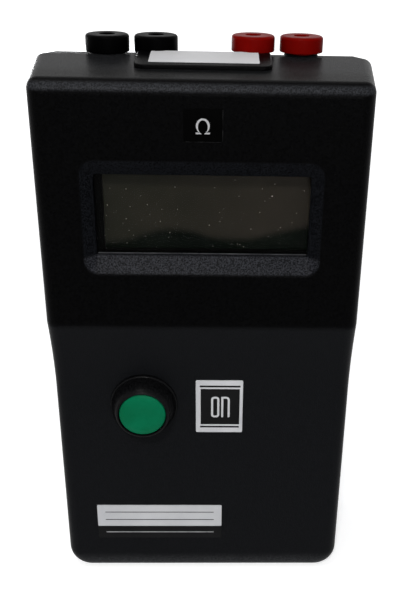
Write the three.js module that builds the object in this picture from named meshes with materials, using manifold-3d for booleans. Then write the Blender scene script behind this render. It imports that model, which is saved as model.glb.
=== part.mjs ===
// A handheld ohmmeter that stands on its bottom end, in millimetres.
// X runs to the right, Z up to the terminals, and Y back from the front of the display section.
import * as THREE from 'three';
import { mergeVertices } from 'three/addons/utils/BufferGeometryUtils.js';
import Module from 'manifold-3d';

const wasm = await Module();
wasm.setup();

// Driving sizes of the case
const CASE = {
  width: 102.4, height: 180, thickness: 45.6, partingY: 28.4,
  wall: 2.4, draftShare: 0.1, faceFillet: 4.4, backFillet: 5,
  topCorner: 3.2, bottomCorner: 8, leastCorner: 0.5,
  foldShare: 0.5694, rampEndShare: 0.4222, stepDepth: 5.3, rampPowerShare: 1.7, rampShares: [0.2, 0.42, 0.7],
};
// Shared clearances: touching pieces, running fits, a glue line, and the overrun of a cut or a root
const GAP = 0.3;
const RUNNING = 0.25;
const GLUE = 0.05;
const OVER = 2;
const ROOT = 1;

// The display: rim and window of the recess, then what stands behind it. Places up the face, here and below,
// are shares of the case height
const DISPLAY = {
  centreShare: 0.7639, rimWidth: 71.1, rimHeight: 35.5, rimCorner: 3.4,
  openWidth: 63.7, openHeight: 25.1, openCorner: 0.6, bevelDepth: 3.5, lip: 1.5, margin: 2.2,
  windowThick: 1.5, frameThick: 1.5, frameWall: 1.6, frameCorner: 1,
  viewWidth: 62.5, viewHeight: 25, viewX: 1.5, viewRise: 0.6,
  glassWidth: 70, glassHeight: 36, glassThick: 2.8,
  stripWidth: 64, stripHeight: 2, stripDepth: 2.6, stripInset: 1.2,
  boardThick: 1.6, boardMargin: 1.2, chipWidth: 52, chipHeight: 14, chipThick: 4,
};
// The push button, on the lower face; rise and proud are measured out from that face
const BUTTON = {
  x: -19.5, heightShare: 0.395, flangeRadius: 11.1, flangeThick: 1.1, flangeEdge: 0.4,
  coneFoot: 10.1, coneRadius: 9.5, rimRadius: 8.4, rise: 7.3, rimRound: 0.8, seatMargin: 0.4,
  capRadius: 7.55, capThick: 5.5, capEdge: 0.5, capDish: 0.4, dishShare: 0.6, proud: 0.3,
  barrelRadius: 9, barrelLength: 10.5, floorThick: 1.6, nutFlats: 24, nutThick: 2.5,
  plungerRadius: 2.2, barRadius: 5.5, barThick: 1, travel: 3, springRadius: 4, springWall: 0.8,
  bodyRadius: 8, bodyLength: 6.5, bodyWall: 1.2,
  contactX: 1.5, contactWidth: 3, contactThick: 0.8, tailLength: 5,
};
// The four terminals on the top end, counted in steps of their spacing from the middle
const TERMINAL = {
  spacing: 14.85, landRadius: 5.2, landRise: 0.3, landDepth: 3.7, blackLift: 0.25, redLift: 0.65,
  headRadius: 6.65, headHeight: 4.75, headEdge: 1.1, footEdge: 0.35, mouthRadius: 2.35, mouthDepth: 0.9,
  neckRadius: 3.87, spigotRadius: 3.6,
  postRadius: 2.7, postBelow: 7, socketRadius: 2, socketFloor: 1.6, stemRadius: 1.4, stemLength: 4,
  crossRadius: 0.85, crossRise: 1.15, crossSides: 8,
  insertRadius: 4.3, insertHeight: 2.1, insertFloor: 0.8, nutFlats: 9, nutThick: 2.4,
};
const POSTS = [
  { side: 'black', place: 'outer', at: -2 },
  { side: 'black', place: 'inner', at: -1 },
  { side: 'red', place: 'inner', at: 1 },
  { side: 'red', place: 'outer', at: 2 },
];
// The plate on the top end and the stickers
const PLATE = {
  width: 40, depth: 15.8, thick: 1.2, corner: 3, backCorner: 0.5, pegRadius: 1.5, pegX: 14, pegBack: 5,
};
const STICKER = 0.25;
const END_LABEL = { width: 32.2, x: 0.2, frontInset: 2.8, backInset: 0.6, corner: 0.4 };
const OHM_LABEL = { width: 11.1, height: 9.3, x: 0.3, heightShare: 0.9189, corner: 0.4 };
const ON_LABEL = { width: 15.9, height: 20.7, x: 5.6, heightShare: 0.3886, corner: 1, seatMargin: 0.3 };
const NAME_LABEL = {
  width: 44, height: 14.8, x: -15.4, heightShare: 0.1222,
  stripHeight: 4.6, corner: 1, stripCorner: 0.4, seam: 0.1,
};
// The main board and what stands on it: rises are measured up from the board's lower edge, and the drop of
// the link to the display board down from the display's middle
const MAIN = {
  sideRoom: 10, trayRoom: 24, topRoom: 22, thick: 1.6, corner: 2,
  postRadius: 3, postSideInset: 7, postInset: 8,
  linkX: -28, linkDrop: 3, linkWidth: 2.6, linkHeight: 16, linkReach: 18.4,
  ampX: -8, ampRise: 20, ampWidth: 7, ampHeight: 10, ampThick: 3.6,
  trimX: 14, trimRise: 20, trimSize: 9.5, trimThick: 5, trimScrewRadius: 1.6, trimScrewThick: 1.2,
};
// The battery, its tray and the cover on the back
const BATTERY = {
  width: 26.2, depth: 17.5, height: 46, footGap: 1.9, edge: 1.5, studX: 6.3, studRadius: 2.9, studHeight: 2.4,
  snapWidth: 25, snapDepth: 12, snapThick: 3.2, sideRoom: 1.2, leadRoom: 4.6,
};
const COVER = {
  lowZ: 6.8, corner: 2.5, thick: 1.2, lip: 1.2,
  tongueWidth: 8, tongueReach: 4, tongueThick: 1.2,
  gripCount: 5, gripWidth: 14, gripHeight: 1, gripPitch: 2.2, gripDepth: 0.5, gripInset: 6, trayWall: 1.6,
};
const SCREW = {
  sideInset: 9.5, lowZ: 12, topInset: 16, bossRadius: 3.8, shankRadius: 1.5, pilotDepth: 10,
  headRadius: 2.8, headThick: 2.2, headSunk: 5, slotWidth: 0.8, slotDepth: 0.9, tipGap: 0.6,
};
const LEAD = { radius: 0.65, sides: 8, stepsPerPoint: 3, twinHalf: 1, holeWidth: 4.4, holeDepth: 2.4 };

// Sides of round pieces, by how much they show
const FINE = 32;
const ROUND = 24;
const SMALL = 12;
const FILLET_STEPS = 4;
const HEX = 6;
const RIGHT_ANGLE = Math.PI / 2;

// Colours and finishes
const finish = (color, roughness, metalness = 0) =>
  new THREE.MeshStandardMaterial({ color, roughness, metalness });
const FINISH = {
  shell: [0x111214, 0.5], gloss: [0x0a0a0b, 0.18], window: [0x2c2a26, 0.08], glass: [0x4a4a40, 0.2],
  rubber: [0x2b2b2b, 0.9], board: [0x2f5a38, 0.6], chip: [0x17181a, 0.55], green: [0x0a7a50, 0.35],
  red: [0xb01010, 0.2], steel: [0xb8b8b4, 0.35, 1], brass: [0xc8b070, 0.3, 1], paper: [0xe4e4e6, 0.6],
  ink: [0x0b0b0c, 0.4], battery: [0x7d8794, 0.45, 0.4], blue: [0x2b5fa8, 0.5],
};

// Solid helpers

function solid(geometry) {
  const bare = geometry.clone();
  bare.deleteAttribute('normal');
  bare.deleteAttribute('uv');
  const merged = mergeVertices(bare, 1e-5);
  const vertProperties = new Float32Array(merged.attributes.position.array);
  const triVerts = new Uint32Array(merged.index.array);
  return new wasm.Manifold(new wasm.Mesh({ numProp: 3, vertProperties, triVerts }));
}

function surface(manifold) {
  const mesh = manifold.getMesh();
  const geometry = new THREE.BufferGeometry();
  geometry.setAttribute('position', new THREE.BufferAttribute(mesh.vertProperties, 3));
  geometry.setIndex(new THREE.BufferAttribute(mesh.triVerts, 1));
  return geometry;
}

const join = (body, pieces) => pieces.reduce((whole, piece) => whole.add(solid(piece)), body);
const cut = (body, tools) => tools.reduce((whole, tool) => whole.subtract(solid(tool)), body);

function block(x0, x1, y0, y1, z0, z1) {
  const geometry = new THREE.BoxGeometry(x1 - x0, y1 - y0, z1 - z0);
  return geometry.translate((x0 + x1) / 2, (y0 + y1) / 2, (z0 + z1) / 2);
}

// A block given by its middle in X and Z
const slab = (x, z, width, height, y0, y1) =>
  block(x - width / 2, x + width / 2, y0, y1, z - height / 2, z + height / 2);

// A turned piece from profile pairs [radius, height], which start and end on the axis or close on themselves
function turned(profile, sides) {
  const points = profile.map(([radius, height]) => new THREE.Vector2(radius, height));
  return new THREE.LatheGeometry(points, sides);
}

// The same, standing on Z at x, y, or lying along Y at x, z
const standing = (profile, sides, x, y) => turned(profile, sides).rotateX(RIGHT_ANGLE).translate(x, y, 0);
const facing = (profile, sides, x, z) => turned(profile, sides).translate(x, 0, z);
const bar = (radius, low, high) => [[0, low], [radius, low], [radius, high], [0, high]];
const tube = (outer, inner, low, high) =>
  [[inner, low], [outer, low], [outer, high], [inner, high], [inner, low]];
const rodZ = (radius, low, high, x, y, sides = SMALL) => standing(bar(radius, low, high), sides, x, y);
const rodY = (radius, low, high, x, z, sides = SMALL) => facing(bar(radius, low, high), sides, x, z);

// A six-sided nut's corner radius from its width across flats
const acrossFlats = (width) => width / 2 / Math.cos(Math.PI / HEX);

// The corners of a rounded rectangle, anticlockwise seen from the front
function roundedOutline(width, height, corner) {
  const points = [];
  const places = [[1, -1, -1], [1, 1, 0], [-1, 1, 1], [-1, -1, 2]];
  for (const [right, up, quarter] of places) {
    for (let i = 0; i <= FILLET_STEPS; i += 1) {
      const angle = (quarter + i / FILLET_STEPS) * RIGHT_ANGLE;
      const x = right * (width / 2 - corner) + corner * Math.cos(angle);
      points.push([x, up * (height / 2 - corner) + corner * Math.sin(angle)]);
    }
  }
  return points;
}

// A closed skin through rings of equal length that run front to back, with flat faces across each end
function skin(rings, frontSpans, backSpans) {
  const count = rings[0].length;
  const positions = rings.flat().flatMap((point) => [point.x, point.y, point.z]);
  const index = [];
  for (let level = 0; level + 1 < rings.length; level += 1) {
    for (let i = 0; i < count; i += 1) {
      const [a, b] = [level * count + i, level * count + ((i + 1) % count)];
      index.push(a, a + count, b, b, a + count, b + count);
    }
  }
  const close = (level, spans, turn) => spans.forEach((span) => {
    const flat = span.map((i) => new THREE.Vector2(rings[level][i].x, rings[level][i].z));
    THREE.ShapeUtils.triangulateShape(flat, []).forEach((corners) => {
      const triangle = corners.map((corner) => level * count + span[corner]);
      index.push(...(turn ? triangle.reverse() : triangle));
    });
  });
  close(0, frontSpans, false);
  close(rings.length - 1, backSpans, true);
  const geometry = new THREE.BufferGeometry();
  geometry.setAttribute('position', new THREE.Float32BufferAttribute(positions, 3));
  return geometry.setIndex(index);
}

const numbers = (from, to) => Array.from({ length: to - from + 1 }, (_, i) => from + i);

// A block whose rounded outline changes from one depth to the next
function drawn(x, z, sections) {
  const rings = sections.map(({ y, width, height, corner }) =>
    roundedOutline(width, height, corner).map(([u, v]) => new THREE.Vector3(x + u, y, z + v)));
  const all = [numbers(0, rings[0].length - 1)];
  return skin(rings, all, all);
}

const panel = (x, z, width, height, corner, y0, y1) =>
  drawn(x, z, [{ y: y0, width, height, corner }, { y: y1, width, height, corner }]);

// Case form

const foldZ = CASE.foldShare * CASE.height;
const rampEndZ = CASE.rampEndShare * CASE.height;
const rampLevels = CASE.rampShares.map((share) => THREE.MathUtils.lerp(rampEndZ, foldZ, share));
const breakLevels = [rampEndZ, ...rampLevels, foldZ];

// How far the front face lies behind the display section at a height
function step(z) {
  const share = THREE.MathUtils.clamp((z - rampEndZ) / (foldZ - rampEndZ), 0, 1);
  return CASE.stepDepth * (1 - share ** CASE.rampPowerShare);
}

// The case outline seen from the front: the draft draws in the sides and the top, the inset every side
function caseOutline(draft, inset) {
  const halfWidth = CASE.width / 2 - draft - inset;
  const top = CASE.height - draft - inset;
  const topCorner = Math.max(CASE.topCorner - inset, CASE.leastCorner);
  const bottomCorner = Math.max(CASE.bottomCorner - inset, CASE.leastCorner);
  const arc = (x, z, radius, quarter) => numbers(0, FILLET_STEPS).map((i) => {
    const angle = (quarter + i / FILLET_STEPS) * RIGHT_ANGLE;
    return [x + radius * Math.cos(angle), z + radius * Math.sin(angle)];
  });
  return [
    ...arc(halfWidth - bottomCorner, inset + bottomCorner, bottomCorner, -1),
    ...breakLevels.map((z) => [halfWidth, z]),
    ...arc(halfWidth - topCorner, top - topCorner, topCorner, 0),
    ...arc(topCorner - halfWidth, top - topCorner, topCorner, 1),
    ...[...breakLevels].reverse().map((z) => [-halfWidth, z]),
    ...arc(bottomCorner - halfWidth, inset + bottomCorner, bottomCorner, 2),
  ];
}

// The parts of the outline that each flat of the stepped face spans: ramp strips, display section, lower face
function faceSpans() {
  const corner = FILLET_STEPS + 1;
  const levels = breakLevels.length;
  const right = corner;
  const left = right + levels + 2 * corner;
  const last = left + levels + corner - 1;
  const strips = numbers(0, levels - 2).map((i) =>
    [right + i, right + i + 1, left + levels - 2 - i, left + levels - 1 - i]);
  const lowerFace = [...numbers(left + levels - 1, last), ...numbers(0, right)];
  return [...strips, numbers(right + levels - 1, left), lowerFace];
}

// The case between its parting plane and one face, as a solid block; inset gives the hollow inside it
function caseHalf(faceY, faceStep, fillet, inset, reach) {
  const away = Math.sign(faceY - CASE.partingY);
  const ring = (outline, depth) => outline.map(([x, z]) => new THREE.Vector3(x, depth(z), z));
  const filletY = faceY - away * (inset + fillet);
  const draft = CASE.draftShare * Math.abs(CASE.partingY - filletY);
  const rings = [ring(caseOutline(0, inset), () => CASE.partingY)];
  if (reach > 0) rings.unshift(ring(caseOutline(0, inset), () => CASE.partingY - away * reach));
  for (let i = 0; i <= FILLET_STEPS; i += 1) {
    const angle = (i / FILLET_STEPS) * RIGHT_ANGLE;
    const drawnIn = fillet * (1 - Math.cos(angle));
    const outward = fillet * Math.sin(angle);
    rings.push(ring(caseOutline(draft, inset + drawnIn), (z) => filletY + away * outward + faceStep(z)));
  }
  const spans = faceSpans();
  const all = [numbers(0, rings[0].length - 1)];
  return away > 0 ? skin(rings, all, spans) : skin(rings.reverse(), spans, all);
}

const level = () => 0;
const frontHollow = caseHalf(0, step, CASE.faceFillet - CASE.wall, CASE.wall, OVER);
const backY = CASE.thickness;
const rearHollow = caseHalf(backY, level, CASE.backFillet - CASE.wall, CASE.wall, OVER);

// Height of the sloped top end at a depth
const endZ = (y) => CASE.height - CASE.draftShare * Math.abs(CASE.partingY - y);

// Depths that several pieces share
const faceY = CASE.stepDepth;
const displayZ = DISPLAY.centreShare * CASE.height;
const buttonZ = BUTTON.heightShare * CASE.height;
const onLabelZ = ON_LABEL.heightShare * CASE.height;
const lipY = DISPLAY.bevelDepth + DISPLAY.lip;
const windowY = lipY + DISPLAY.windowThick;
const frameY = windowY + DISPLAY.frameThick;
const glassY = frameY + DISPLAY.glassThick;
const displayBoardY = glassY + DISPLAY.stripDepth;
const displayBackY = displayBoardY + DISPLAY.boardThick;
const viewZ = displayZ + DISPLAY.viewRise;
const frameWidth = DISPLAY.glassWidth + 2 * (GAP + DISPLAY.frameWall);
const frameHeight = DISPLAY.glassHeight + 2 * (GAP + DISPLAY.frameWall);
const screwSeatY = backY - CASE.wall - SCREW.headSunk;
const screwX = CASE.width / 2 - SCREW.sideInset;
const screwTopZ = CASE.height - SCREW.topInset;
const screwPlaces = [
  ['lower_left', -screwX, SCREW.lowZ], ['lower_right', screwX, SCREW.lowZ],
  ['upper_left', -screwX, screwTopZ], ['upper_right', screwX, screwTopZ],
];
const terminalY = CASE.partingY + TERMINAL.landRadius + GAP;
const landTopZ = CASE.height + TERMINAL.landRise;
const landFootZ = CASE.height - TERMINAL.landDepth;
const openingWidth = BATTERY.width + 2 * BATTERY.sideRoom;
const openingHeight = BATTERY.footGap + BATTERY.height + GAP + BATTERY.snapThick + BATTERY.leadRoom;
const coverWidth = openingWidth + 2 * COVER.lip;
const coverHeight = openingHeight + 2 * COVER.lip;
const coverZ = COVER.lowZ + coverHeight / 2;
const coverSeatY = backY - COVER.thick;
const batteryBackY = coverSeatY - GAP;
const batteryFrontY = batteryBackY - BATTERY.depth;
const trayFloorY = batteryFrontY - GAP;
const trayTopZ = COVER.lowZ + coverHeight - COVER.lip;
const batteryLowZ = COVER.lowZ + COVER.lip + BATTERY.footGap;
const batteryTopZ = batteryLowZ + BATTERY.height;
const batteryY = (batteryFrontY + batteryBackY) / 2;
const snapLowZ = batteryTopZ + GAP;
const snapTopZ = snapLowZ + BATTERY.snapThick;
const mainY = displayBackY + MAIN.linkReach;
const mainLowZ = trayTopZ + MAIN.trayRoom;
const mainTopZ = CASE.height - MAIN.topRoom;
const mainWidth = CASE.width - 2 * MAIN.sideRoom;
const postX = mainWidth / 2 - MAIN.postSideInset;
const postPlaces = [-1, 1].flatMap((side) =>
  [mainLowZ + MAIN.postInset, mainTopZ - MAIN.postInset].map((z) => [side * postX, z]));

// The sub-parts: each is added to the ohmmeter with its name and finish
const ohmmeter = new THREE.Group();

function add(name, shape, look) {
  const geometry = shape instanceof wasm.Manifold ? surface(shape) : shape;
  const mesh = new THREE.Mesh(geometry, finish(...FINISH[look]));
  mesh.name = name;
  ohmmeter.add(mesh);
}

// Front shell: stepped face, bevelled display recess, button seat, screw bosses
function frontShell() {
  const { rimWidth, rimHeight, rimCorner, openWidth, openHeight, openCorner, margin } = DISPLAY;
  const rim = { width: rimWidth, height: rimHeight, corner: rimCorner };
  const open = { width: openWidth, height: openHeight, corner: openCorner };
  const shell = solid(caseHalf(0, step, CASE.faceFillet, 0, 0)).subtract(solid(frontHollow));
  const bosses = screwPlaces.map(([, x, z]) => rodY(SCREW.bossRadius, step(z) + ROOT, CASE.partingY, x, z));
  const surround = panel(0, displayZ, rimWidth + 2 * margin, rimHeight + 2 * margin, rimCorner, ROOT, lipY);
  const recess = drawn(0, displayZ, [
    { y: -OVER, ...rim }, { y: 0, ...rim }, { y: DISPLAY.bevelDepth, ...open }, { y: lipY + OVER, ...open },
  ]);
  const pilots = screwPlaces.map(([, x, z]) =>
    rodY(SCREW.shankRadius + RUNNING, CASE.partingY - SCREW.pilotDepth, CASE.partingY + OVER, x, z));
  const buttonSeat = rodY(BUTTON.flangeRadius + BUTTON.seatMargin, -OVER, faceY, BUTTON.x, buttonZ, FINE);
  const buttonHole = rodY(BUTTON.barrelRadius + GAP, -OVER, faceY + CASE.wall + OVER,
    BUTTON.x, buttonZ, FINE);
  const labelRoom = 2 * ON_LABEL.seatMargin;
  const labelSeat = slab(ON_LABEL.x, onLabelZ, ON_LABEL.width + labelRoom, ON_LABEL.height + labelRoom,
    -OVER, faceY);
  const pegHoles = [-1, 1].map((side) =>
    rodZ(PLATE.pegRadius + GAP, CASE.height - CASE.wall - 2 * OVER, CASE.height + OVER,
      side * PLATE.pegX, pegY));
  const cuts = [recess, ...pilots, buttonSeat, buttonHole, labelSeat, ...pegHoles];
  return cut(join(shell, [...bosses, surround]), cuts);
}

// Rear shell: flat back with screw wells, battery tray, board posts and the lands of the terminals
function rearShell() {
  const shell = solid(caseHalf(backY, level, CASE.backFillet, 0, 0)).subtract(solid(rearHollow));
  const bosses = screwPlaces.map(([, x, z]) => rodY(SCREW.bossRadius, CASE.partingY, backY - ROOT, x, z));
  const lands = POSTS.map(({ at }) =>
    rodZ(TERMINAL.landRadius, landFootZ, landTopZ, at * TERMINAL.spacing, terminalY, FINE));
  const posts = postPlaces.map(([x, z]) => rodY(MAIN.postRadius, mainY + MAIN.thick, backY - ROOT, x, z));
  const trayWidth = openingWidth + 2 * COVER.trayWall;
  const trayHeight = openingHeight + 2 * COVER.trayWall;
  const tray = slab(0, coverZ, trayWidth, trayHeight, trayFloorY - COVER.trayWall, backY - ROOT);
  const wells = screwPlaces.flatMap(([, x, z]) => [
    rodY(SCREW.shankRadius + RUNNING, CASE.partingY - OVER, backY + OVER, x, z),
    rodY(SCREW.headRadius + GAP, screwSeatY, backY + OVER, x, z),
  ]);
  const holes = POSTS.map(({ at }) =>
    rodZ(TERMINAL.spigotRadius + GAP, landFootZ - OVER, landTopZ + OVER,
      at * TERMINAL.spacing, terminalY, ROUND));
  const bay = slab(0, coverZ, openingWidth, openingHeight, trayFloorY, backY + OVER);
  const coverSeat = panel(0, coverZ, coverWidth + 2 * GAP, coverHeight + 2 * GAP, COVER.corner + GAP,
    coverSeatY, backY + OVER);
  const leadHole = block(-LEAD.holeWidth / 2, LEAD.holeWidth / 2, batteryY - LEAD.holeDepth / 2,
    batteryY + LEAD.holeDepth / 2, trayTopZ - ROOT, trayTopZ + COVER.trayWall + ROOT);
  const adds = [...bosses, ...lands, ...posts, tray];
  return cut(join(shell, adds), [...wells, ...holes, bay, coverSeat, leadHole]);
}

// A piece laid on the sloped top end: an outline in X and Y, from one height over the slope to another
function onTopEnd(x, width, y0, y1, frontCorner, backCorner, low, high) {
  const [w, f, b] = [width / 2, frontCorner, backCorner];
  const shape = new THREE.Shape();
  shape.moveTo(w - b, y1);
  shape.lineTo(b - w, y1);
  shape.absarc(b - w, y1 - b, b, RIGHT_ANGLE, Math.PI);
  shape.lineTo(-w, y0 + f);
  shape.absarc(f - w, y0 + f, f, Math.PI, Math.PI + RIGHT_ANGLE);
  shape.lineTo(w - f, y0);
  shape.absarc(w - f, y0 + f, f, -RIGHT_ANGLE, 0);
  shape.lineTo(w, y1 - b);
  shape.absarc(w - b, y1 - b, b, 0, RIGHT_ANGLE);
  const geometry = new THREE.ExtrudeGeometry(shape, {
    depth: high - low, bevelEnabled: false, curveSegments: FILLET_STEPS,
  });
  geometry.translate(x, 0, low);
  const place = geometry.attributes.position;
  for (let i = 0; i < place.count; i += 1) place.setZ(i, place.getZ(i) + endZ(place.getY(i)));
  return geometry;
}

// The plate and its sticker make room for the terminal caps
const capRoom = POSTS.map(({ at }) =>
  rodZ(TERMINAL.headRadius + GAP, CASE.height - OVER, CASE.height + 2 * OVER,
    at * TERMINAL.spacing, terminalY, FINE));
const plateY = CASE.partingY;
const plateFrontY = plateY - PLATE.depth;
const pegY = plateFrontY + PLATE.pegBack;

function endPlate() {
  const plate = onTopEnd(0, PLATE.width, plateFrontY, plateY, PLATE.corner, PLATE.backCorner,
    GLUE, GLUE + PLATE.thick);
  const pegFoot = endZ(pegY) - CASE.wall - ROOT;
  const pegs = [-1, 1].map((side) =>
    rodZ(PLATE.pegRadius, pegFoot, endZ(pegY) + PLATE.thick / 2, side * PLATE.pegX, pegY));
  return cut(join(solid(plate), pegs), capRoom);
}

add('front_shell', frontShell(), 'shell');
add('rear_shell', rearShell(), 'shell');
add('end_plate', endPlate(), 'shell');
const endLabelFoot = PLATE.thick + 2 * GLUE;
add('end_label', cut(solid(onTopEnd(END_LABEL.x, END_LABEL.width, plateFrontY + END_LABEL.frontInset,
  plateY - END_LABEL.backInset, END_LABEL.corner, END_LABEL.corner, endLabelFoot, endLabelFoot + STICKER)),
capRoom), 'paper');

// Stickers on the front
const sticker = (label, z, height, corner, y) =>
  panel(label.x, z, label.width, height, corner, y - STICKER, y);
const nameLowZ = NAME_LABEL.heightShare * CASE.height - NAME_LABEL.height / 2;
const stripZ = nameLowZ + NAME_LABEL.stripHeight / 2;
const plainHeight = NAME_LABEL.height - NAME_LABEL.stripHeight - NAME_LABEL.seam;
const ohmLabelZ = OHM_LABEL.heightShare * CASE.height;
add('ohm_label', sticker(OHM_LABEL, ohmLabelZ, OHM_LABEL.height, OHM_LABEL.corner, 0), 'ink');
add('on_label', sticker(ON_LABEL, onLabelZ, ON_LABEL.height, ON_LABEL.corner, faceY), 'paper');
add('name_label', sticker(NAME_LABEL, nameLowZ + NAME_LABEL.height - plainHeight / 2, plainHeight,
  NAME_LABEL.corner, faceY), 'paper');
add('name_strip', sticker(NAME_LABEL, stripZ, NAME_LABEL.stripHeight, NAME_LABEL.stripCorner, faceY), 'ink');

// Display stack
function lcdFrame() {
  const { frameCorner, viewX, viewWidth, viewHeight, glassWidth, glassHeight } = DISPLAY;
  const outer = solid(panel(0, displayZ, frameWidth, frameHeight, frameCorner, windowY, displayBoardY));
  const pocket = slab(0, displayZ, glassWidth + 2 * GAP, glassHeight + 2 * GAP, frameY, displayBoardY + OVER);
  const view = slab(viewX, viewZ, viewWidth, viewHeight, windowY - OVER, frameY + OVER);
  return cut(outer, [pocket, view]);
}

add('display_window', panel(0, displayZ, DISPLAY.rimWidth, DISPLAY.rimHeight, DISPLAY.rimCorner,
  lipY, windowY), 'window');
add('lcd_frame', lcdFrame(), 'ink');
add('lcd_glass', slab(0, displayZ, DISPLAY.glassWidth, DISPLAY.glassHeight, frameY, glassY), 'glass');
for (const [name, side] of [['upper', 1], ['lower', -1]]) {
  const z = displayZ + side * (DISPLAY.glassHeight / 2 - DISPLAY.stripInset - DISPLAY.stripHeight / 2);
  add(`contact_strip_${name}`, slab(0, z, DISPLAY.stripWidth, DISPLAY.stripHeight,
    glassY, displayBoardY), 'rubber');
}
add('display_board', slab(0, displayZ, frameWidth + 2 * DISPLAY.boardMargin,
  frameHeight + 2 * DISPLAY.boardMargin, displayBoardY, displayBackY), 'board');
add('meter_chip', slab(0, displayZ, DISPLAY.chipWidth, DISPLAY.chipHeight,
  displayBackY, displayBackY + DISPLAY.chipThick), 'chip');

// Main board and its components
add('main_board', panel(0, (mainLowZ + mainTopZ) / 2, mainWidth, mainTopZ - mainLowZ, MAIN.corner,
  mainY, mainY + MAIN.thick), 'board');
add('board_link', slab(MAIN.linkX, displayZ - MAIN.linkDrop, MAIN.linkWidth, MAIN.linkHeight,
  displayBackY, mainY), 'chip');
const onBoard = (x, rise, width, height, thick) =>
  slab(x, mainLowZ + rise, width, height, mainY - thick, mainY);
add('amplifier_chip', onBoard(MAIN.ampX, MAIN.ampRise, MAIN.ampWidth, MAIN.ampHeight, MAIN.ampThick), 'chip');
const trimFaceY = mainY - MAIN.trimThick;
add('calibration_trimmer', join(
  solid(onBoard(MAIN.trimX, MAIN.trimRise, MAIN.trimSize, MAIN.trimSize, MAIN.trimThick)),
  [rodY(MAIN.trimScrewRadius, trimFaceY - MAIN.trimScrewThick, trimFaceY + ROOT,
    MAIN.trimX, mainLowZ + MAIN.trimRise)],
), 'blue');

// Push button
const rimY = faceY - BUTTON.rise;
const barrelY = faceY + BUTTON.barrelLength;
const wellY = barrelY - BUTTON.floorThick;
const capTopY = rimY - BUTTON.proud;
const capFootY = capTopY + BUTTON.capThick;
const barY = barrelY + GAP;
const contactY = barY + BUTTON.barThick + BUTTON.travel + RUNNING;
const switchEndY = barrelY + BUTTON.bodyLength;
const inButton = (profile, sides) => facing(profile, sides, BUTTON.x, buttonZ);

add('switch_bezel', inButton([
  [BUTTON.capRadius + GAP, rimY], [BUTTON.rimRadius, rimY],
  [BUTTON.coneRadius - BUTTON.rimRound / 2, rimY + BUTTON.rimRound],
  [BUTTON.coneRadius, rimY + 2 * BUTTON.rimRound],
  [BUTTON.coneFoot, faceY - BUTTON.flangeThick],
  [BUTTON.flangeRadius - BUTTON.flangeEdge, faceY - BUTTON.flangeThick],
  [BUTTON.flangeRadius, faceY - BUTTON.flangeThick + BUTTON.flangeEdge], [BUTTON.flangeRadius, faceY],
  [BUTTON.barrelRadius, faceY], [BUTTON.barrelRadius, barrelY], [BUTTON.plungerRadius + RUNNING, barrelY],
  [BUTTON.plungerRadius + RUNNING, wellY], [BUTTON.capRadius + GAP, wellY], [BUTTON.capRadius + GAP, rimY],
], FINE), 'gloss');
add('switch_cap', inButton([
  [0, capTopY + BUTTON.capDish], [BUTTON.capRadius * BUTTON.dishShare, capTopY + BUTTON.capDish / 2],
  [BUTTON.capRadius - BUTTON.capEdge, capTopY], [BUTTON.capRadius, capTopY + BUTTON.capEdge],
  [BUTTON.capRadius, capFootY], [0, capFootY],
], FINE), 'green');
add('switch_plunger', inButton([
  [0, capFootY], [BUTTON.plungerRadius, capFootY], [BUTTON.plungerRadius, barY], [BUTTON.barRadius, barY],
  [BUTTON.barRadius, barY + BUTTON.barThick], [0, barY + BUTTON.barThick],
], ROUND), 'brass');
add('switch_spring', inButton(tube(BUTTON.springRadius, BUTTON.springRadius - BUTTON.springWall,
  capFootY + RUNNING, wellY - RUNNING), SMALL), 'steel');
const hexAtFace = (flats, bore, y0, y1) => solid(inButton(bar(acrossFlats(flats), y0, y1), HEX))
  .subtract(solid(inButton(bar(bore, y0 - OVER, y1 + OVER), ROUND)));
const nutY = faceY + CASE.wall;
add('switch_nut', hexAtFace(BUTTON.nutFlats, BUTTON.barrelRadius + RUNNING,
  nutY, nutY + BUTTON.nutThick), 'steel');
const contactFloorY = switchEndY - BUTTON.floorThick;
const blade = (side, clear, y0, y1) => slab(BUTTON.x + side * BUTTON.contactX, buttonZ,
  BUTTON.contactThick + 2 * clear, BUTTON.contactWidth + 2 * clear, y0, y1);
add('switch_body', cut(solid(inButton(bar(BUTTON.bodyRadius, barrelY, switchEndY), ROUND)), [
  inButton(bar(BUTTON.bodyRadius - BUTTON.bodyWall, barrelY - OVER, contactFloorY), ROUND),
  ...[-1, 1].map((side) => blade(side, GAP, contactFloorY - OVER, switchEndY + OVER)),
]), 'chip');
add('switch_contact_left', blade(-1, 0, contactY, switchEndY + BUTTON.tailLength), 'brass');
add('switch_contact_right', blade(1, 0, contactY, switchEndY + BUTTON.tailLength), 'brass');

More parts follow.
